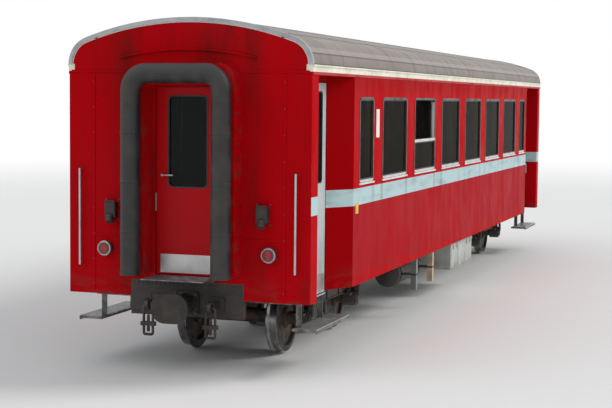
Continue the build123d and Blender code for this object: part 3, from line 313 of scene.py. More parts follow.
def roof_material():
    """Silver-grey roof outside with ribs, sheet laps, rain streaks and soot, white panels below."""
    p = Paint("roof_paint")
    over = p.above(p.radius(p.y, p.minus(p.z, ROOF_TOP - CROWN)), CROWN - 0.022)
    edge = p.radius(p.minus(p.ay, SIDE_Y - EDGE_RADIUS), p.minus(p.z, ROOF_START))
    outer = p.most(over, p.mul(p.above(edge, EDGE_RADIUS - 0.022), p.above(p.ay, 1.0)))
    streak = p.patches(7.0, 5.0, 0.42, 0.78, (1, 0.16, 0.16))
    from_rib = p.minus(0.5, p.from_middle(p.y, RIB_SPACING))
    ribbed = p.below(p.ay, 3.4 * RIB_SPACING)
    lap = p.from_middle(p.x, SHEET)
    grey = p.cover((142, 134, 127), (110, 102, 96), streak, 0.35)
    grey = p.cover(grey, (92, 84, 80), p.between(from_rib, 0.030, 0.120), ribbed, 0.55)
    grey = p.cover(grey, (176, 171, 166), p.below(from_rib, 0.024), ribbed, 0.5)
    grey = p.cover(grey, (124, 118, 114), p.patches(0.9, 6.0, 0.40, 0.70), 0.45)
    grey = p.cover(grey, (96, 90, 86), p.fade(lap, 0.014, 0.0), 0.4)
    grey = p.cover(grey, (78, 71, 67), p.between(p.z, EDGE_LAP - 0.016, EDGE_LAP), 0.75)
    grey = p.cover(grey, (178, 170, 166), p.between(p.z, EDGE_LAP, EDGE_LAP + 0.050), 0.45)
    grey = p.cover(grey, (112, 104, 98), p.fade(p.z, 3.42, ROOF_START), 0.25)
    panel = p.mix(p.noise(40.0, 2.0), (226, 224, 216), (216, 213, 204))
    p.bump(p.fade(lap, 0.0, 0.006), 0.003, 0.5)
    p.bump(p.noise(2.0, 3.0), 0.008, 0.35)
    rough = p.blend(outer, 0.45, p.blend(streak, 0.42, 0.62))
    return p.done(p.mix(outer, panel, grey), rough, shine=0.09)


def plain_paint(name, base, dark, rough, grime=0.0, metal=0.0, grain=160.0):
    """Paint or metal with a cloudy change, dirt in patches and a fine grain."""
    p = Paint(name)
    dirt = p.patches(13.0, 7.0, 0.46, 0.72)
    color = p.mix(p.patches(4.0, 5.0, 0.35, 0.72), base, dark)
    p.bump(p.noise(grain, 3.0), 0.0004, 0.35)
    return p.done(p.cover(color, GRIME, dirt, grime), p.blend(dirt, rough, rough + 0.22), Metallic=metal)


def glass_material():
    """Dark window glass with dust and smears; what is behind it shows through its alpha."""
    p = Paint("window_glass")
    dust = p.patches(6.0, 6.0, 0.4, 0.8)
    color = p.cover((24, 21, 15), (45, 39, 27), p.patches(4.0, 4.0, 0.4, 0.7, (1, 1, 0.25)), 0.6)
    color = p.cover(color, (96, 92, 84), dust, 0.1)
    return p.done(color, p.blend(dust, 0.03, 0.12), Alpha=0.74, IOR=1.45, shine=0.003)


def window_frame_material():
    """Dull metal, pale with a painted highlight along the foot and on the lowered sash's rail, and white
    with a painted highlight on the jamb beside it.
    """
    p = Paint("window_frame_metal")
    cloud = p.patches(5.0, 5.0, 0.35, 0.72)
    dull = p.mix(cloud, (92, 88, 86), (70, 67, 66))
    pale = p.mix(cloud, (212, 214, 213), (186, 188, 187))
    right = p.below(p.y, 0.0)
    on_rail = p.between(p.z, LOWERED_TOP - SASH_RAIL, LOWERED_TOP + 0.002)
    rail = p.mul(on_rail, p.below(p.off(p.x, LOWERED_X), 0.56), right)
    beside = p.between(p.minus(p.x, LOWERED_X), 0.535, 0.60)
    jamb = p.mul(beside, p.above(p.z, LOWERED_TOP), p.above(p.y, 0.0025 - SIDE_Y), right)
    # Painted highlight: pale along the foot of every frame and on the lowered sash's rail
    color = p.mix(p.most(rail, p.below(p.z, SILL + 0.0291)), dull, pale)
    # Painted highlight: the jamb beside the lowered sash is near white and not metal, so it looks sunlit
    color = p.mix(jamb, color, (240, 241, 238))
    p.bump(p.noise(240.0, 3.0), 0.0003, 0.3)
    metal = p.blend(jamb, 0.55, 0.0)
    return p.done(color, p.blend(cloud, 0.36, 0.55), Metallic=metal, shine=0.1)


def leaf_material(letter):
    """A door leaf: grey paint round a dark pane, seen from both sides."""
    p = Paint("door_leaf_paint_" + letter)
    across = p.off(p.minus(p.ax, DOOR_X), sum(LEAVES[letter]) / 2)
    depth = p.between(p.minus(DOOR_Y, p.ay), 0.0215, 0.0285)
    pane = p.mul(p.below(across, 0.0999), depth, p.between(p.z, SILL + 0.0322, DOOR_TOP - 0.0852))
    dirt = p.mul(p.patches(9.0, 6.0, 0.38, 0.7), p.fade(p.z, DOOR_LOW + 0.5, DOOR_LOW))
    color = p.mix(p.patches(2.2, 4.0, 0.35, 0.7), (188, 196, 196), (172, 180, 181))
    color = p.mix(pane, p.cover(color, GRIME, dirt, 0.55), PANE)
    p.bump(p.mul(p.noise(150.0, 2.0), p.minus(1.0, pane)), 0.0003, 0.3)
    rough = p.blend(pane, p.blend(dirt, 0.36, 0.7), 0.05)
    return p.done(color, rough, Alpha=p.blend(pane, 1.0, 0.62), shine=0.12)


def end_door_material():
    """Red outside and pale inside, with a dark pane and a bright handle."""
    p = Paint("end_door_paint")
    depth = p.between(p.ax, END_DOOR_IN + 0.0139, END_DOOR_IN + 0.0211)
    pane = p.mul(depth, p.below(p.ay, 0.2199), p.between(p.z, SILL, HEAD))
    handle = p.mul(p.above(p.ax, END_DOOR_OUT + 0.0008), p.between(p.z, 2.010, 2.046))
    color = p.mix(p.below(p.ax, END_DOOR_IN + 0.001), red_paint(p), LINING)
    color = p.mix(pane, p.mix(handle, color, (190, 190, 190)), PANE)
    return p.done(color, p.blend(pane, 0.34, 0.05), Alpha=p.blend(pane, 1.0, 0.6),
                  Metallic=p.mul(handle, 0.9), shine=0.12)


def wheel_material(name, x):
    """Bright tread, oily rim and rusty web round one axle."""
    p = Paint(name)
    r = p.radius(p.minus(p.x, x), p.minus(p.z, AXLE_Z))
    rust = p.patches(9.0, 7.0, 0.35, 0.7)
    web = p.mix(rust, (84, 66, 54), (52, 44, 40))
    rim = p.mix(rust, (70, 66, 63), (44, 42, 41))
    tread = p.mul(p.above(r, 0.3685), p.between(p.ay, 0.466, 0.585))
    bright = p.mix(rust, (150, 150, 152), (116, 112, 110))
    p.bump(p.noise(60.0, 5.0), 0.0012, 0.4)
    rough = p.blend(tread, p.blend(rust, 0.6, 0.85), 0.25)
    color = p.mix(tread, p.mix(p.above(r, 0.312), web, rim), bright)
    return p.done(color, rough, Metallic=p.mul(tread, 0.95))


def fabric_material():
    """Woven seat cloth with small flecks."""
    p = Paint("seat_cloth")
    color = p.mix(p.patches(38.0, 1.0, 0.56, 0.62), (58, 62, 98), (126, 92, 106))
    color = p.cover(color, (120, 118, 124), p.patches(2.5, 4.0, 0.4, 0.75), 0.25)
    weave = p.mul(p.most(p.wave(180.0, "X"), p.wave(180.0, "Y")), p.wave(180.0, "Z"))
    p.bump(weave, 0.0012, 0.5)
    return p.done(color, 0.9, Sheen_Weight=0.35, Sheen_Roughness=0.5)


def rubber_material():
    """Ribbed black rubber with dust on it."""
    p = Paint("dusty_rubber")
    dust = p.patches(5.0, 7.0, 0.38, 0.75)
    p.bump(p.wave(9.0, "Z"), 0.002, 0.25)
    p.bump(p.noise(90.0, 4.0), 0.0008, 0.4)
    return p.done(p.mix(dust, (33, 33, 34), (66, 63, 60)), p.blend(dust, 0.5, 0.8))


def floor_material():
    """Speckled floor covering above, primed steel below."""
    p = Paint("floor_covering")
    cover = p.mix(p.patches(160.0, 2.0, 0.52, 0.6), (92, 94, 98), (128, 130, 132))
    aisle = p.mul(p.fade(p.ay, 0.34, 0.1), 0.5)
    cover = p.cover(cover, (110, 104, 96), aisle, p.patches(3.0, 5.0, 0.3, 0.7))
    steel = p.mix(p.patches(6.0, 6.0, 0.4, 0.7), (52, 50, 49), (78, 66, 58))
    return p.done(p.mix(p.above(p.z, FLOOR_TOP - 0.004), steel, cover), 0.62)


def strap_material():
    """Pale paint on the hanging angles, dark frame paint on the hoops and arms."""
    p = Paint("strap_paint")
    hanger = p.mul(p.above(p.ay, 1.1885), p.most(p.above(p.z, 0.5605), p.below(p.z, 0.5355)))
    pale = p.mix(p.below(p.off(p.ax, 1.445), 0.06), (118, 128, 124), (196, 178, 152))
    pale = p.cover(pale, (120, 104, 90), p.patches(9.0, 6.0, 0.4, 0.7), 0.45)
    dark = p.mix(p.patches(5.0, 5.0, 0.4, 0.7), (46, 44, 43), (70, 62, 56))
    p.bump(p.noise(70.0, 4.0), 0.0006, 0.35)
    return p.done(p.mix(hanger, dark, pale), 0.6)


def lens_material():
    """Ribbed red lamp glass in a dark case."""
    p = Paint("lamp_lens")
    glass = p.above(p.ax, END_X + 0.0545)
    r = p.radius(p.minus(p.ay, LAMP_Y), p.minus(p.z, LAMP_Z))
    red = p.mix(p.fade(r, 0.062, 0.0), (108, 8, 10), (176, 24, 22))
    case = p.mix(p.patches(20.0, 4.0, 0.4, 0.7), (52, 52, 53), (76, 74, 72))
    p.bump(p.mul(p.math("SINE", p.mul(r, 900.0)), glass), 0.0012, 0.5)
    rough = p.blend(glass, 0.55, 0.12)
    return p.done(p.mix(glass, case, red), rough, Coat_Weight=0.3, Coat_Roughness=0.1)


def case_material():
    """Light grey equipment case with rain streaks and road dust at its foot."""
    p = Paint("case_paint")
    dust = p.mul(p.fade(p.z, 0.62, 0.36), p.patches(9.0, 6.0, 0.3, 0.7), 0.7)
    streak = p.patches(9.0, 5.0, 0.45, 0.7, (1, 1, 0.08))
    color = p.cover((182, 187, 182), (140, 136, 128), streak, 0.6)
    p.bump(p.noise(120.0, 3.0), 0.0003, 0.25)
    return p.done(p.cover(color, (126, 108, 94), dust), p.blend(dust, 0.38, 0.75))


def steel_material():
    """Brushed stainless steel."""
    p = Paint("brushed_steel")
    brush = p.noise(60.0, 3.0, (1, 1, 0.06))
    color = p.mix(p.patches(4.0, 5.0, 0.4, 0.75), (190, 190, 191), (168, 167, 166))
    p.bump(brush, 0.0002, 0.3)
    return p.done(color, p.blend(brush, 0.26, 0.42), Metallic=0.92)


def tread_material():
    """Worn step metal with fine ribs."""
    p = Paint("step_metal")
    wear = p.patches(11.0, 6.0, 0.42, 0.68)
    color = p.mix(wear, (86, 86, 86), (140, 139, 136))
    color = p.cover(color, GRIME, p.patches(5.0, 6.0, 0.5, 0.75), 0.5)
    p.bump(p.wave(26.0, "X"), 0.0018, 0.35)
    return p.done(color, p.blend(wear, 0.62, 0.4), Metallic=p.mul(wear, 0.6))


# Name, colour, second colour, roughness, and where they matter grime, metal and grain
PLAIN_PAINTS = {
    # The pale cream of the eave strips is partly a painted highlight, standing in for sky light on the
    # gutter
    "cream": ("eave_paint", (240, 237, 218), (218, 213, 194), 0.4, 0.18),
    "alu": ("satin_aluminium", (168, 171, 173), (144, 147, 150), 0.36, 0.1, 0.8, 300.0),
    "chassis": ("frame_paint", (44, 43, 43), (62, 56, 52), 0.6, 0.55),
    "bogie": ("bogie_paint", (58, 57, 56), (72, 65, 60), 0.6, 0.6),
    "spring": ("spring_paint", (34, 34, 35), (52, 48, 46), 0.5, 0.4),
    "coupler": ("coupler_steel", (48, 46, 45), (74, 68, 62), 0.48, 0.45, 0.5),
    "seat_metal": ("seat_enamel", (120, 122, 124), (104, 106, 110), 0.4),
    "laminate": ("table_laminate", (206, 198, 178), (192, 184, 164), 0.3),
    "lining": ("wall_lining", LINING, (202, 196, 182), 0.45),
    "lamp": ("lamp_diffuser", (240, 240, 232), (228, 227, 216), 0.35),
    # The near-white sill paint is partly a painted reflection of the sky along the foot of the windows
    "sill": ("sill_paint", (226, 229, 228), (204, 207, 206), 0.35, 0.12),
    "bolt": ("bolt_steel", (88, 84, 80), (62, 56, 52), 0.5, 0.4, 0.7),
    "white": ("white_enamel", (238, 238, 234), (226, 226, 220), 0.3, 0.12),
    "yellow": ("yellow_enamel", (224, 178, 40), (204, 158, 36), 0.35, 0.15),
    "piping": ("piping_vinyl", (44, 46, 62), (58, 58, 70), 0.5),
}
MAT = {key: plain_paint(*row) for key, row in PLAIN_PAINTS.items()}
MAT.update(
    body=body_material(), portal=portal_material(), roof=roof_material(), glass=glass_material(),
    frame=window_frame_material(), end_door=end_door_material(), leaf_a=leaf_material("a"),
    leaf_b=leaf_material("b"), fabric=fabric_material(), rubber=rubber_material(), floor=floor_material(),
    strap=strap_material(), lens=lens_material(), case=case_material(), steel=steel_material(),
    tread=tread_material())

# The first words of the CAD nodes that wear each material
NODE_NAMES = {
    "body": "side_wall end_wall",
    "portal": "gangway_frames",
    "roof": "roof",
    "cream": "eave_strips",
    "frame": "window_frames",
    "glass": "window_glass",
    "floor": "floor",
    "tread": "step_wells footsteps gangway_plates",
    "chassis": "underframe side_sills headstocks air_tanks brake_cylinders",
    "coupler": "centre_buffers draw_hooks screw_links",
    "rubber": "gangway_tubes",
    "lining": "partitions",
    "fabric": "seat_cushions seat_backs",
    "seat_metal": "seat_frames luggage_racks",
    "laminate": "tables",
    "lamp": "ceiling_lamps",
    "case": "battery_case converter_case",
    "strap": "tank_straps",
    "lens": "end_lamps",
    "steel": "end_rails",
    "bogie": "bogie_frame axle_boxes",
    "spring": "springs",
    "leaf_a": "door_leaf_a",
    "leaf_b": "door_leaf_b",
    "end_door": "end_door",
}


def dress(node, mat):
    """Give a CAD node its material through the object's own slots."""
    obj = NODES[node]
    if not obj.material_slots:
        obj.data.materials.append(mat)
    for material_slot in obj.material_slots:
        material_slot.link = "OBJECT"
        material_slot.material = mat


for node in NODES:
    if node.startswith("wheelset"):
        dress(node, wheel_material("wheel_steel_" + node[9:], middle(node, "x")))
    for key, names in NODE_NAMES.items():
        if node.startswith(tuple(names.split())):
            dress(node, MAT[key])


# Mesh building
OUT, UP, DOWN = (1, 0, 0), (0, 0, 1), (0, 0, -1)


def circle(centre, side, other, radius, count):
    """Points of a circle in the plane of two directions."""
    turns = [2 * pi * i / count for i in range(count)]
    return [centre + (side * cos(a) + other * sin(a)) * radius for a in turns]


class Shape:
    """Vertices and faces gathered for one piece."""

    def __init__(self):
        self.verts = []
        self.faces = []

    def add(self, verts, faces):
        start = len(self.verts)
        self.verts += [tuple(v) for v in verts]
        self.faces += [tuple(start + i for i in face) for face in faces]
        return self

    def join(self, other):
        return self.add(other.verts, other.faces)

    def loft(self, rings, closed=False):
        """Quads between rings of equal length, with end caps unless closed."""
        count, total = len(rings[0]), len(rings)
        faces = []
        for i in range(total if closed else total - 1):
            a, b = i * count, (i + 1) % total * count
            for j in range(count):
                k = (j + 1) % count
                faces.append((a + j, a + k, b + k, b + j))
        if not closed:
            faces += [range(count)[::-1], range((total - 1) * count, total * count)]
        return self.add([point for ring in rings for point in ring], faces)

    def box(self, x0, x1, y0, y1, z0, z1):
        return self.loft([[(x0, y0, z), (x1, y0, z), (x1, y1, z), (x0, y1, z)] for z in (z0, z1)])

    def prism(self, outline, x0, x1):
        """An outline in Y and Z, drawn out along X."""
        return self.loft([[(x, y, z) for y, z in outline] for x in (x0, x1)])

    def turned(self, start, direction, profile, count=16, closed=False):
        """A round piece along a direction: profile rows are (distance along, radius)."""
        start, along = Vector(start), Vector(direction).normalized()
        side = along.orthogonal().normalized()
        other = along.cross(side)
        return self.loft([circle(start + along * at, side, other, r, count) for at, r in profile], closed)

    def rod(self, start, end, radius, count=10):
        run = Vector(end) - Vector(start)
        return self.turned(start, run, [(0, radius), (run.length, radius)], count)

    def tube(self, points, radius, count, closed=False):
        """A bar that follows points."""
        pts = [Vector(p) for p in points]
        rings = []
        side = None
        for i, p in enumerate(pts):
            before = pts[i - 1] if i or closed else p
            after = pts[(i + 1) % len(pts)] if i + 1 < len(pts) or closed else p
            along = (after - before).normalized()
            if side is None:
                side = along.orthogonal().normalized()
            side = (side - along * side.dot(along)).normalized()
            rings.append(circle(p, side, along.cross(side), radius, count))
        return self.loft(rings, closed)

    def bolt(self, at, direction, radius, height):
        """A hexagon head on its washer."""
        foot = height * 0.25
        self.turned(at, direction, [(0, radius * 1.35), (foot, radius * 1.35)], 12)
        head = [(foot, radius), (height * 0.95, radius), (height, radius * 0.8)]
        return self.turned(at, direction, head, 6)

    def rim(self, x0, x1, z0, z1, y0, y1, width, radius):
        """A rounded rectangular frame in X and Z, from y0 to y1, width wide inwards."""
        def loop(inset, y):
            r = radius - inset
            a, b, c, d = x0 + radius, x1 - radius, z0 + radius, z1 - radius
            pts = []
            for turn, x, z in ((0, b, d), (90, a, d), (180, a, c), (270, b, c)):
                for i in range(7):
                    t = radians(turn + 15 * i)
                    pts.append((x + r * cos(t), y, z + r * sin(t)))
            return pts
        return self.loft([loop(0.0, y0), loop(0.0, y1), loop(width, y1), loop(width, y0)], closed=True)

    def moved(self, change, flip=False):
        """A copy with each vertex changed, its faces turned round if flip."""
        faces = [face[::-1] for face in self.faces] if flip else self.faces
        return Shape().add([change(v) for v in self.verts], faces)

    def mirrored(self, sx, sy):
        return self.moved(lambda v: (v[0] * sx, v[1] * sy, v[2]), sx * sy < 0)

    def everywhere(self, ends=(1, -1), sides=(1, -1)):
        """The shape, drawn at the front left, mirrored to ends and sides."""
        out = Shape()
        for sx in ends:
            for sy in sides:
                out.join(self.mirrored(sx, sy))
        return out

    def both_ends(self):
        return self.everywhere(sides=(1,))

    def both_sides(self):
        return self.everywhere(ends=(1,))


def new_object(name, data):
    """Make an object and put it in the scene."""
    obj = bpy.data.objects.new(name, data)
    bpy.context.scene.collection.objects.link(obj)
    return obj


def piece(name, shape, mat, body="coach_body", bevel=0.0, smooth=False):
    """Make one Blender object from a shape and let it ride on its body."""
    mesh = bpy.data.meshes.new(name)
    mesh.from_pydata(shape.verts, [], shape.faces)
    mesh.validate()
    build = bmesh.new()
    build.from_mesh(mesh)
    bmesh.ops.recalc_face_normals(build, faces=build.faces)
    build.to_mesh(mesh)
    build.free()
    obj = new_object(name, mesh)
    mesh.materials.append(MAT[mat])
    if smooth:
        mesh.shade_smooth()
        mesh.set_sharp_from_angle(angle=radians(38))
    if bevel:
        cut = obj.modifiers.new("edges", "BEVEL")
        cut.width = bevel
        cut.segments = 2
        cut.limit_method = "ANGLE"
        cut.angle_limit = radians(40)
    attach(obj, body)
    return obj


def windows(side):
    """Centre, width and whether the sash is down, for one side: -1 right, 1 left."""
    rows = [(x, SMALL, False) for x in (-SMALL_X, SMALL_X)]
    return rows + [((i - 2.5) * PITCH, WINDOW, side < 0 and i == 1) for i in range(6)]


def window_details():
    """Rubber round each pane, sill strips and latches."""
    inset = 0.0286
    for side, word in SIDES:
        rubber, sills, latches = Shape(), Shape(), Shape()
        for x, width, dropped in windows(side):
            half, lip = width / 2 - inset, width / 2 + 0.012
            high = LOWERED_TOP - SASH_RAIL - 0.0002 if dropped else HEAD - inset
            for y0, y1 in ((1.3112, 1.3200), (1.2960, 1.3048)):
                rubber.rim(x - half, x + half, SILL + inset, high, side * y0, side * y1, 0.014, 0.040)
            sills.box(x - lip, x + lip, side * 1.3255, side * 1.3400, SILL - 0.016, SILL - 0.004)
            sills.box(x - lip, x + lip, side * 1.3300, side * 1.3400, SILL - 0.024, SILL - 0.016)
            for at in (x - half + 0.14, x + half - 0.14):
                latches.box(at - 0.03, at + 0.03, side * 1.288, side * 1.2958, high - 0.07, high - 0.03)
                latches.box(at - 0.006, at + 0.006, side * 1.272, side * 1.288, high - 0.08, high - 0.04)
        piece("window_rubber_" + word, rubber, "rubber")
        piece("window_sills_" + word, sills, "sill", bevel=0.002)
        piece("window_latches_" + word, latches, "steel", bevel=0.002)


def roof_line(inset):
    """Points over the roof section from the right foot to the left one, moved inward by inset."""
    crown_z = ROOF_TOP - CROWN
    shoulder = SIDE_Y - EDGE_RADIUS
    lean = atan2(shoulder, ROOF_START - crown_z)
    edge, crown = [], []
    for i in range(9):
        t = (pi / 2 - lean) * i / 8
        r = EDGE_RADIUS - inset
        edge.append((-(shoulder + r * cos(t)), ROOF_START + r * sin(t)))
    for i in range(1, 30):
        t = lean * (i / 15 - 1)
        crown.append(((CROWN - inset) * sin(t), crown_z + (CROWN - inset) * cos(t)))
    return edge + crown + [(-y, z) for y, z in reversed(edge)]


def roof_details():
    """A pale rim at each end of the roof, the dark seam above the cream strip, a red bead below it."""
    rims, outer = Shape(), roof_line(-0.008)
    rims.prism(outer + roof_line(0.0)[::-1], END_X + 0.004, END_X - 0.045)
    rims.prism(outer + roof_line(0.034)[::-1], END_X + 0.0095, END_X + 0.0006)
    piece("roof_end_rims", rims.both_ends(), "alu")
    seam = Shape().box(0.01 - END_X, END_X - 0.01, 1.3255, 1.3335, ROOF_START, ROOF_START + 0.009)
    piece("roof_gutter_seal", seam.both_sides(), "rubber", bevel=0.002)
    bead = Shape().box(-END_X, END_X, 1.3252, 1.3360, WALL_TOP - 0.030, WALL_TOP - 0.002)
    piece("cantrail_bead", bead.both_sides(), "portal", bevel=0.004)


def side_details():
    """Two blank plates on the seen side and lifting pads along both."""
    plate = Shape().box(-4.66, -4.53, -1.3252, -1.3290, 2.385, 2.705)
    piece("pillar_plate", plate, "white", bevel=0.0015)
    plate = Shape().box(-5.46, -5.35, -1.3252, -1.3280, 1.570, 1.690)
    piece("corner_plate", plate, "yellow", bevel=0.0012)
    pad = Shape().box(3.16, 3.34, 1.19, 1.262, 0.745, 0.8175)
    piece("lifting_pads", pad.everywhere(), "chassis", bevel=0.004)


def gangway_details():
    """Bolts on the portal, bands on the rubber tubes and jumper sockets."""
    bolts, bands, sockets = Shape(), Shape(), Shape()
    for i in range(13):
        bolts.bolt((END_X + 0.10, 0.5904, 1.16 + i * 0.15), (0, 1, 0), 0.009, 0.010)
    for i in range(9):
        bolts.bolt((END_X + 0.10, -0.40 + i * 0.10, 3.1585), UP, 0.009, 0.008)
    tube_x, tube_y = END_X + 0.305, 0.4875
    bands.turned((tube_x, tube_y, FLOOR_TOP + 0.022), UP, [(0, 0.103), (0.05, 0.103), (0.055, 0.098)], 24)
    band = [(0, 0.1005), (0.006, 0.1028), (0.030, 0.1028), (0.036, 0.1005)]
    for z in (1.45, 1.95, 2.45):
        bands.turned((tube_x, tube_y, z), UP, band, 28)
    sockets.box(END_X + 0.0005, END_X + 0.075, 0.77, 0.89, 1.58, 1.74)
    plug = [(0, 0.045), (0.06, 0.045), (0.075, 0.038)]
    sockets.turned((END_X + 0.06, 0.83, 1.60), (0.5, 0, -1), plug, 18)
    piece("portal_bolts", bolts.everywhere(), "bolt")
    piece("gangway_tube_bands", bands.everywhere(), "rubber", smooth=True)
    piece("jumper_sockets", sockets.everywhere(), "chassis", bevel=0.004)


def end_door_details():
    """Rubber round the pane on both faces, and a screwed kick plate outside."""
    gasket, plate = Shape(), Shape()
    for x in (END_DOOR_OUT + 0.0005, END_DOOR_IN - 0.0042):
        ring = Shape().rim(-0.2197, 0.2197, SILL + SEAT_GAP, HEAD - SEAT_GAP, 0.0, 0.004, 0.016, 0.060)
        gasket.join(ring.moved(lambda v: (x + v[1], -v[0], v[2])))
    plate.box(END_DOOR_OUT + 0.0003, END_DOOR_OUT + 0.0025, -0.30, 0.30, 1.03, 1.22)
    for i in range(5):
        for y in (-0.28, 0.28):
            plate.bolt((END_DOOR_OUT + 0.0025, y, 1.05 + i * 0.0375), OUT, 0.004, 0.003)
    for end, word in ENDS:
        for name, shape, mat in (("gasket", gasket, "rubber"), ("kick_plate", plate, "steel")):
            piece("end_door_" + name + "_" + word, shape.mirrored(end, end), mat, "end_door_" + word)


def end_wall_details():
    """Cover strips, rain strip, lamp rims, socket lids and their bolts on the end walls."""
    strips, rims, bolts, lids = Shape(), Shape(), Shape(), Shape()
    face = END_X + 0.0005
    for y0, y1, z0, z1, thick in (
            (1.030, 1.062, 0.80, 3.06, 0.006), (0.615, 1.300, 3.066, 3.094, 0.006),
            (0.615, 1.030, 1.385, 1.411, 0.006), (0.745, 0.915, 1.545, 1.775, 0.005)):
        strips.box(face, face + thick, y0, y1, z0, z1)
    arch_radius = 3.3
    arch = [radians(-13.0 + 26.0 * i / 16) for i in range(17)]
    low = [(arch_radius * sin(t), arch_radius * cos(t) - 0.005) for t in arch]
    high = [(y, z + 0.017) for y, z in low]
    rain = Shape().prism(low + high[::-1], face + 0.030, face)
    rim = [(0, 0.0625), (0, 0.0785), (0.0084, 0.0785), (0.014, 0.0729), (0.014, 0.0625)]
    rims.turned((END_X + 0.0545, LAMP_Y, LAMP_Z), OUT, rim, 28, closed=True)
    for i in range(4):
        t = radians(45 + 90 * i)
        at = (END_X + 0.0680, LAMP_Y + 0.0705 * cos(t), LAMP_Z + 0.0705 * sin(t))
        bolts.bolt(at, OUT, 0.0035, 0.004)
    for y in (0.758, 0.902):
        for z in (1.560, 1.760):
            bolts.bolt((face + 0.005, y, z), OUT, 0.007, 0.008)
    for i in range(9):
        bolts.bolt((face + 0.006, 1.046, 0.88 + i * 0.262), OUT, 0.005, 0.005)
    lids.rod((END_X + 0.080, 0.775, 1.748), (END_X + 0.080, 0.885, 1.748), 0.007, 12)
    lids.box(END_X + 0.0755, END_X + 0.0795, 0.778, 0.882, 1.625, 1.745)
    piece("end_wall_strips", strips.everywhere(), "body", bevel=0.002)
    piece("end_rain_strips", rain.both_ends(), "body", bevel=0.002)
    piece("end_lamp_rims", rims.everywhere(), "alu", smooth=True)
    piece("end_wall_bolts", bolts.everywhere(), "bolt")
    piece("socket_lids", lids.everywhere(), "chassis", bevel=0.0015)


def coupler_details():
    """Bolts and rings round buffer and hooks, rivets along the headstock."""
    bolts, rings, rivets = Shape(), Shape(), Shape()
    for dz in (-0.095, 0.095):
        bolts.bolt((END_X + 0.020, 0.11, BUFFER_Z + dz), OUT, 0.013, 0.014)
    for y in (0.285, 0.395):
        for dz in (-0.055, 0.055):
            bolts.bolt((END_X + 0.016, y, BUFFER_Z + dz), OUT, 0.011, 0.012)
    rings.turned((END_X + 0.252, 0, BUFFER_Z), OUT, [(0, 0.104), (0.020, 0.104), (0.026, 0.096)], 28)
    rings.turned((END_X + 0.02, 0, BUFFER_Z), OUT, [(0, 0.108), (0.02, 0.098)], 28)
    rivet = [(0, 0.011), (0.004, 0.010), (0.0075, 0.005)]
    for i in range(12):
        for z in (RAIL + 0.60, RAIL + 0.885):
            rivets.turned((END_X - 0.0004, 0.05 + i * 0.049, z), OUT, rivet, 10)
    piece("coupler_bolts", bolts.everywhere(), "bolt")
    piece("buffer_rings", rings.both_ends(), "coupler", smooth=True)
    piece("headstock_rivets", rivets.everywhere(), "chassis", smooth=True)


def under_details():
    """Doors, hinges and latches of the cases, pipes with brackets, cylinder bolts."""
    pipes, bolts, doors, hinges, latches = Shape(), Shape(), Shape(), Shape(), Shape()
    right_doors = ((-0.300, 0.144), (0.176, 0.644), (0.676, 1.120))
    left_doors = ((-1.72, -1.07), (-1.03, -0.38))
    for side, foot, top, inset, spans in (
            (-1, 0.400, 0.696, 0.07, right_doors), (1, 0.440, 0.735, 0.09, left_doors)):
        for a, b in spans:
            doors.box(a, b, side * 1.2552, side * 1.2612, foot, top)
            for x in (a + inset, b - inset):
                y, z = side * 1.2640, foot + 0.004
                hinges.rod((x - 0.03, y, z), (x + 0.03, y, z), 0.007)
    for x in (-0.17, 0.07, 0.75, 0.99):
        latches.box(x - 0.020, x + 0.020, -1.270, -1.2555, 0.655, 0.735)
        latches.box(x - 0.008, x + 0.008, -1.276, -1.268, 0.665, 0.72)
    for x in (-1.55, -0.55):
        latches.box(x - 0.020, x + 0.020, 1.2552, 1.262, 0.62, 0.70)
    pipe_end, cylinder_x = 6.93, 1.081
    for y, z, r in ((0.47, 0.826, 0.016), (-0.52, 0.824, 0.020), (-0.57, 0.829, 0.012)):
        pipes.rod((-pipe_end, y, z), (pipe_end, y, z), r)
        for i in range(13):
            x = (i - 6) * 1.05
            top = 0.8695 if i % 2 else 0.850
            pipes.box(x - 0.012, x + 0.012, y - r - 0.004, y + r + 0.004, z + r - 0.004, top)
    for x in (-cylinder_x, cylinder_x):
        bolts.turned((x, 0, RAIL + 0.398), DOWN, [(0, 0.20), (0.008, 0.20)], 28)
        for i in range(8):
            t = pi * i / 4
            at = (x + 0.18 * cos(t), 0.18 * sin(t), RAIL + 0.3985)
            bolts.bolt(at, DOWN, 0.011, 0.016)
    piece("case_doors", doors, "case", bevel=0.004)
    piece("case_hinges", hinges, "steel", smooth=True)
    piece("floor_pipes", pipes, "chassis", smooth=True)
    piece("cylinder_bolts", bolts, "bolt")
    piece("case_latches", latches, "steel", bevel=0.003)


def coil(x, y):
    """Points of a spring's wire between its plates, wound closer at both ends."""
    turns, steps = 4.5, 14
    climb = SPRING_TOP - SPRING_FOOT - 0.029
    points = []
    for i in range(int(turns * steps) + 1):
        t = i / (turns * steps)
        z = SPRING_FOOT + 0.0145 + climb * (0.35 * t * t * (3 - 2 * t) + 0.65 * t)
        a = 2 * pi * i / steps
        points.append((x + 0.039 * cos(a), y + 0.039 * sin(a), z))
    return points


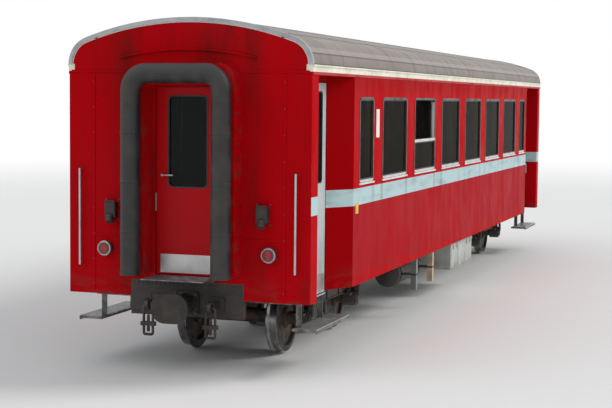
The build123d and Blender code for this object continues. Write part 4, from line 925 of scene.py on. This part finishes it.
def bogie_details():
    """Real coils in place of the CAD springs, and flanges, covers and dampers on the frames."""
    coils, plates, covers, flanges = Shape(), Shape(), Shape(), Shape()
    for side in (-1, 1):
        y, outward = side * BEAM_Y, (0, side, 0)
        face = y + side * 0.093
        for axle in (-WHEELBASE / 2, WHEELBASE / 2):
            for x in (axle - 0.122, axle + 0.122):
                coils.tube(coil(x, y), 0.0088, 7)
                plates.rod((x, y, SPRING_FOOT), (x, y, SPRING_TOP), 0.018)
                for z in (SPRING_FOOT + 0.0003, SPRING_TOP - 0.0053):
                    plates.turned((x, y, z), UP, [(0, 0.050), (0.005, 0.050)], 18)
            for i in range(6):
                t = pi * (i + 0.5) / 3
                at = (axle + 0.065 * cos(t), face, AXLE_Z + 0.065 * sin(t))
                covers.bolt(at, outward, 0.008, 0.010)
            covers.turned((axle, face - side * 0.004, AXLE_Z), outward, [(0, 0.082), (0.006, 0.080)], 24)
        y0, y1 = side * (BEAM_Y + 0.0552), side * (BEAM_Y + 0.067)
        for a, b, z in (
                (-1.10, 1.10, 0.704), (-1.10, -0.53, 0.598), (0.53, 1.10, 0.598), (-0.395, 0.395, 0.518)):
            flanges.box(a, b, y0, y1, z, z + 0.014)
        for x in (-0.40, -0.23, 0.23, 0.40):
            flanges.box(x - 0.006, x + 0.006, y0, y1, 0.532, 0.704)
        damper_y = side * 0.872
        for x in (-0.9, 0.9):
            covers.rod((x, damper_y, 0.43), (x, damper_y, 0.56), 0.021, 12)
            covers.rod((x, damper_y, 0.56), (x, damper_y, 0.665), 0.014, 12)
            covers.box(x - 0.03, x + 0.03, side * 0.8258, side * 0.89, 0.655, 0.675)
            covers.box(x - 0.03, x + 0.03, side * 0.8255, side * 0.89, 0.455, 0.470)
    for end, word in ENDS:
        def place(v):
            return (v[0] + end * BOGIE_X, v[1], v[2])

        body = "bogie_" + word
        springs = piece("coil_springs_" + word, coils.moved(place), "spring", body, smooth=True)
        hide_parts("springs_" + word)
        piece("spring_plates_" + word, plates.moved(place), "bogie", body, smooth=True)
        piece("axle_box_covers_" + word, covers.moved(place), "bogie", body, smooth=True)
        piece("beam_flanges_" + word, flanges.moved(place), "bogie", body, bevel=0.003)


def leaf_trim(letter):
    """Rubber and metal of one leaf, measured from the jamb and the doorway's plane."""
    u0, u1 = LEAVES[letter]
    mid = (u0 + u1) / 2
    foot = 0.774
    rubber, metal = Shape(), Shape()
    for y0, y1 in ((-0.0213, -0.0070), (-0.0430, -0.0287)):
        rubber.rim(mid - 0.0997, mid + 0.0997, SILL + 0.0323, DOOR_TOP - 0.0853, y0, y1, 0.013, 0.044)
    if letter == "a":
        bar = ((0.039, 1.42), (0.062, 1.42), (0.070, 1.43), (0.070, 1.57), (0.062, 1.58), (0.039, 1.58))
        metal.tube([(mid, -v, z) for v, z in bar], 0.007, 8)
        seam, first = u1 - 0.003, foot + 0.135
    else:
        rubber.box(u1 + 0.0002, u1 + 0.003, -0.036, -0.014, 0.776, 2.98)
        seam, first = u0 + 0.003, foot + 0.225
    metal.box(u0 + 0.02, u1 - 0.02, -0.0099, -0.0085, 0.79, 0.97)
    spacing = (DOOR_TOP - foot - 0.36) / 3 * 0.995
    for i in range(4):
        for dz in (-0.025, 0.025):
            at = (seam, -0.0099, first + i * spacing + dz)
            metal.turned(at, (0, 1, 0), [(0, 0.0022), (0.001, 0.0018)], 8)
    return rubber, metal


def leaf_details():
    """Rubber, handles, kick plates and hinge screws of the folding doors."""
    for sx, end in ENDS:
        for sy, side in SIDES:
            def place(v):
                return (sx * (DOOR_X + v[0]), sy * (DOOR_Y + v[1]), v[2])

            for letter in LEAVES:
                tail = letter + "_" + end + "_" + side
                rubber, metal = [shape.moved(place, sx * sy < 0) for shape in leaf_trim(letter)]
                piece("leaf_rubber_" + tail, rubber, "rubber", "entrance_leaf_" + tail)
                piece("leaf_metal_" + tail, metal, "alu", "entrance_leaf_" + tail, smooth=True)


def entrance_details():
    """Covers of the door gear, threshold and step ribs, entrance poles."""
    gear, treads, poles = Shape(), Shape(), Shape()
    gear.box(DOOR_X - 0.02, DOOR_END + 0.02, 0.93, 1.0645, 2.995, 3.085)
    treads.box(DOOR_X + 0.005, DOOR_END - 0.005, 1.1245, 1.1265, 0.742, 0.757)
    for i in range(9):
        y = 0.62 + i * 0.05
        treads.box(DOOR_X + 0.03, DOOR_END - 0.03, y, y + 0.012, 0.7582, 0.7622)
    for i in range(7):
        y = 1.10 + i * 0.031
        treads.box(5.66, 6.79, y, y + 0.010, 0.4932, 0.4972)
    treads.box(5.655, 6.795, 1.3175, 1.3275, 0.4880, 0.4985)
    pole_y = 0.545
    for x in (DOOR_X + 0.02, DOOR_END - 0.02):
        poles.rod((x, pole_y, FLOOR_TOP + 0.001), (x, pole_y, 3.25), 0.016, 14)
    piece("door_gear_covers", gear.everywhere(), "lining", bevel=0.006)
    piece("step_treads", treads.everywhere(), "steel")
    piece("entrance_poles", poles.everywhere(), "steel", smooth=True)


def rounded_pad(size, radius, cells):
    """A closed box with rounded edges, cut into a grid, around the origin."""
    half = Vector(size) / 2
    core = half - Vector((radius, radius, radius))
    index = {}
    verts, faces = [], []

    def vertex(*at):
        if at not in index:
            p = Vector([half[n] * (2 * at[n] / cells[n] - 1) for n in range(3)])
            inner = Vector([max(-core[n], min(core[n], p[n])) for n in range(3)])
            out = p - inner
            index[at] = len(verts)
            verts.append(inner + out.normalized() * min(radius, out.length) if out.length else p)
        return index[at]

    for axis in range(3):
        u, v = (axis + 1) % 3, (axis + 2) % 3
        for end in (0, cells[axis]):
            for i in range(cells[u]):
                for j in range(cells[v]):
                    quad = []
                    for di, dj in ((0, 0), (1, 0), (1, 1), (0, 1)):
                        at = [0, 0, 0]
                        at[axis], at[u], at[v] = end, i + di, j + dj
                        quad.append(vertex(*at))
                    faces.append(quad if end else quad[::-1])
    return verts, faces, index


def inflate(verts, faces, limit):
    """Let a pad swell under pressure in the cloth solver, each point moving limit at most."""
    mesh = bpy.data.meshes.new("pad_form")
    mesh.from_pydata(verts, [], faces)
    obj = new_object("pad_form", mesh)
    scene = bpy.context.scene
    cloth = obj.modifiers.new("swell", "CLOTH").settings
    cloth.use_pressure = True
    cloth.uniform_pressure_force = 4.0
    cloth.tension_stiffness = 18.0
    cloth.compression_stiffness = 18.0
    cloth.bending_stiffness = 0.6
    cloth.effector_weights.gravity = 0.0
    for step in range(1, 21):
        scene.frame_set(step)
    swollen = obj.evaluated_get(bpy.context.evaluated_depsgraph_get()).data
    result = []
    for before, after in zip(verts, swollen.vertices):
        move = after.co - before
        result.append(before + move * min(1.0, limit / max(move.length, 1e-9)))
    scene.frame_set(1)
    bpy.data.objects.remove(obj)
    bpy.data.meshes.remove(mesh)
    return result


def pad_shape(size, seams):
    """A stuffed pad and its piping: crowned, sewn down along its seams across the bench."""
    cells = (10, 26, 5)
    swell = 0.008
    shrunk = [s - 2 * swell for s in size]
    verts, faces, index = rounded_pad(shrunk, 0.030, cells)
    verts = inflate(verts, faces, swell)
    for v in verts:
        if v.z > 0:
            for seam, depth in seams:
                v.z -= depth * max(0.0, 1 - abs(v.y - seam) / 0.030) ** 2
    welts = []
    for k in (1, cells[2] - 1):
        ring = [(i, 0, k) for i in range(1, cells[0])] + [(cells[0], j, k) for j in range(cells[1] + 1)]
        ring += [(i, cells[1], k) for i in range(cells[0] - 1, 0, -1)]
        ring += [(0, j, k) for j in range(cells[1], -1, -1)]
        welts.append([verts[index[at]] for at in ring])
    return verts, faces, welts


def seats():
    """Upholstered pads and backs on every bench, two riders wide."""
    pad = pad_shape((0.358, 0.938, 0.119), ((0.0, 0.012), (-0.235, 0.004), (0.235, 0.004)))
    back = pad_shape((0.806, 0.938, 0.075), ((0.0, 0.010), (-0.235, 0.004), (0.235, 0.004)))
    bench_y = 0.775
    pad_x, pad_z = 0.312, FLOOR_TOP + 0.3803
    back_x, back_z, lean = 0.0497, FLOOR_TOP + 0.7255, 0.045
    rows = {"pad": [], "back": []}
    piping = Shape()
    for index in range(6):
        for line, facing in (((index - 3) * PITCH, 1), ((index - 2) * PITCH, -1)):
            for side in (-1, 1):
                def place_pad(v):
                    return (line + facing * (pad_x + v[0]), side * bench_y + v[1], pad_z + v[2])

                def place_back(v):
                    out = back_x + lean * (0.5 - v[0] / 0.806) + v[2]
                    return (line + facing * out, side * bench_y + v[1], back_z + v[0])

                for kind, (verts, faces, welts), place, flip in (
                        ("pad", pad, place_pad, facing < 0), ("back", back, place_back, facing > 0)):
                    rows[kind].append(Shape().add(verts, faces).moved(place, flip))
                    for welt in welts:
                        piping.tube([place(v) for v in welt], 0.0035, 5, closed=True)
    for kind, node in (("pad", "seat_cushions"), ("back", "seat_backs")):
        for i, shape in enumerate(rows[kind]):
            obj = piece("seat_%s_%02d" % (kind, i + 1), shape, "fabric")
            obj.data.shade_smooth()
            if i == 0:
                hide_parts(node)
    piece("seat_piping", piping, "piping", smooth=True)


def saloon_details():
    """Rack brackets, table edges and metal trim round the passages."""
    brackets, edges, jambs, heads = Shape(), Shape(), Shape(), Shape()
    rack = HEAD + 0.060
    wedge = ((1.2645, rack - 0.055), (1.2645, rack - 0.0005), (0.95, rack - 0.0005), (0.95, rack - 0.012))
    for i in range(7):
        x = max(-4.55, min(4.55, (i - 3) * PITCH))
        brackets.prism(wedge, x - 0.012, x + 0.012)
    for i in range(6):
        x = (i - 2.5) * PITCH
        edges.box(x - 0.203, x + 0.203, 0.931, 0.9348, FLOOR_TOP + 0.662, FLOOR_TOP + 0.6852)
    for x in (4.581, 4.6225):
        jambs.box(x, x + 0.0015, 0.3795, 0.400, FLOOR_TOP, 2.978)
        heads.box(x, x + 0.0015, -0.400, 0.400, 2.978, 2.998)
    piece("rack_brackets", brackets.both_sides(), "seat_metal")
    piece("table_edges", edges.both_sides(), "alu")
    piece("passage_trim", jambs.everywhere().join(heads.both_ends()), "alu")


window_details()
roof_details()
side_details()
gangway_details()
end_door_details()
end_wall_details()
coupler_details()
under_details()
bogie_details()
leaf_details()
entrance_details()
seats()
saloon_details()


# Stage, light and camera
def light_path(tree):
    """1 where the camera looks straight, through glass or in a mirror, 0 where light is gathered."""
    path = add_node(tree, "LightPath", {})
    seen = path["Is Camera Ray"]
    for name in ("Is Glossy Ray", "Is Transmission Ray"):
        seen = add_node(tree, "Math", {0: seen, 1: path[name]}, operation="MAXIMUM")[0]
    return seen


def studio_floor():
    """A pale floor that holds the shadow and turns into the white backdrop far out."""
    size, near, far = 150.0, 14.0, 42.0
    mesh = bpy.data.meshes.new("studio_floor")
    corners = [(-size, -size, 0), (size, -size, 0), (size, size, 0), (-size, size, 0)]
    mesh.from_pydata(corners, [], [(0, 1, 2, 3)])
    floor = new_object("studio_floor", mesh)
    p = Paint("studio_floor")
    color = p.mix(p.noise(0.3, 2.0), (0.86, 0.86, 0.85, 1), (0.84, 0.84, 0.83, 1))
    away = p.radius(p.most(0.0, p.minus(p.ax, END_X)), p.y)
    glow = p.mul(p.fade(away, near, far), light_path(p.tree))
    mesh.materials.append(p.done(color, 0.95, 0.1, glow))


def backdrop():
    """A soft even sky for light, seen as plain white."""
    world = bpy.data.worlds.new("studio")
    bpy.context.scene.world = world
    world.use_nodes = True
    tree = world.node_tree
    tree.nodes.clear()
    light = add_node(tree, "Background", {0: (0.93, 0.96, 1.0, 1), 1: 0.55})[0]
    white = add_node(tree, "Background", {0: (1, 1, 1, 1), 1: 1.0})[0]
    both = add_node(tree, "MixShader", {0: light_path(tree), 1: light, 2: white})[0]
    add_node(tree, "OutputWorld", {0: both})


def sun(name, toward, strength, angle, color=(1, 1, 1)):
    """A broad soft light that shines from a direction."""
    data = bpy.data.lights.new(name, "SUN")
    data.energy = strength
    data.angle = radians(angle)
    data.color = color
    new_object(name, data).rotation_euler = Vector(toward).to_track_quat("Z", "Y").to_euler()


def camera():
    """The photograph's place and direction, brought near with a longer lens."""
    data = bpy.data.cameras.new("camera")
    cam = new_object("camera", data)
    data.sensor_width = 36.0
    data.lens = 83.0
    data.clip_end = 600.0
    yaw, pitch, roll = radians(18.35), radians(-4.25), radians(0.55)
    aim = Vector((cos(yaw) * cos(pitch), sin(yaw) * cos(pitch), sin(pitch)))
    cam.location = (-20.18, -5.64, 2.813)
    cam.rotation_mode = "QUATERNION"
    cam.rotation_quaternion = aim.to_track_quat("-Z", "Y") @ Quaternion((0, 0, 1), roll)
    bpy.context.scene.camera = cam


studio_floor()
backdrop()
sun("key", (0.46, -0.70, 0.55), 1.75, 25, (1.0, 0.985, 0.96))
sun("fill", (-0.50, 0.55, 0.67), 0.45, 60)
camera()
bpy.context.scene.view_settings.view_transform = "Standard"
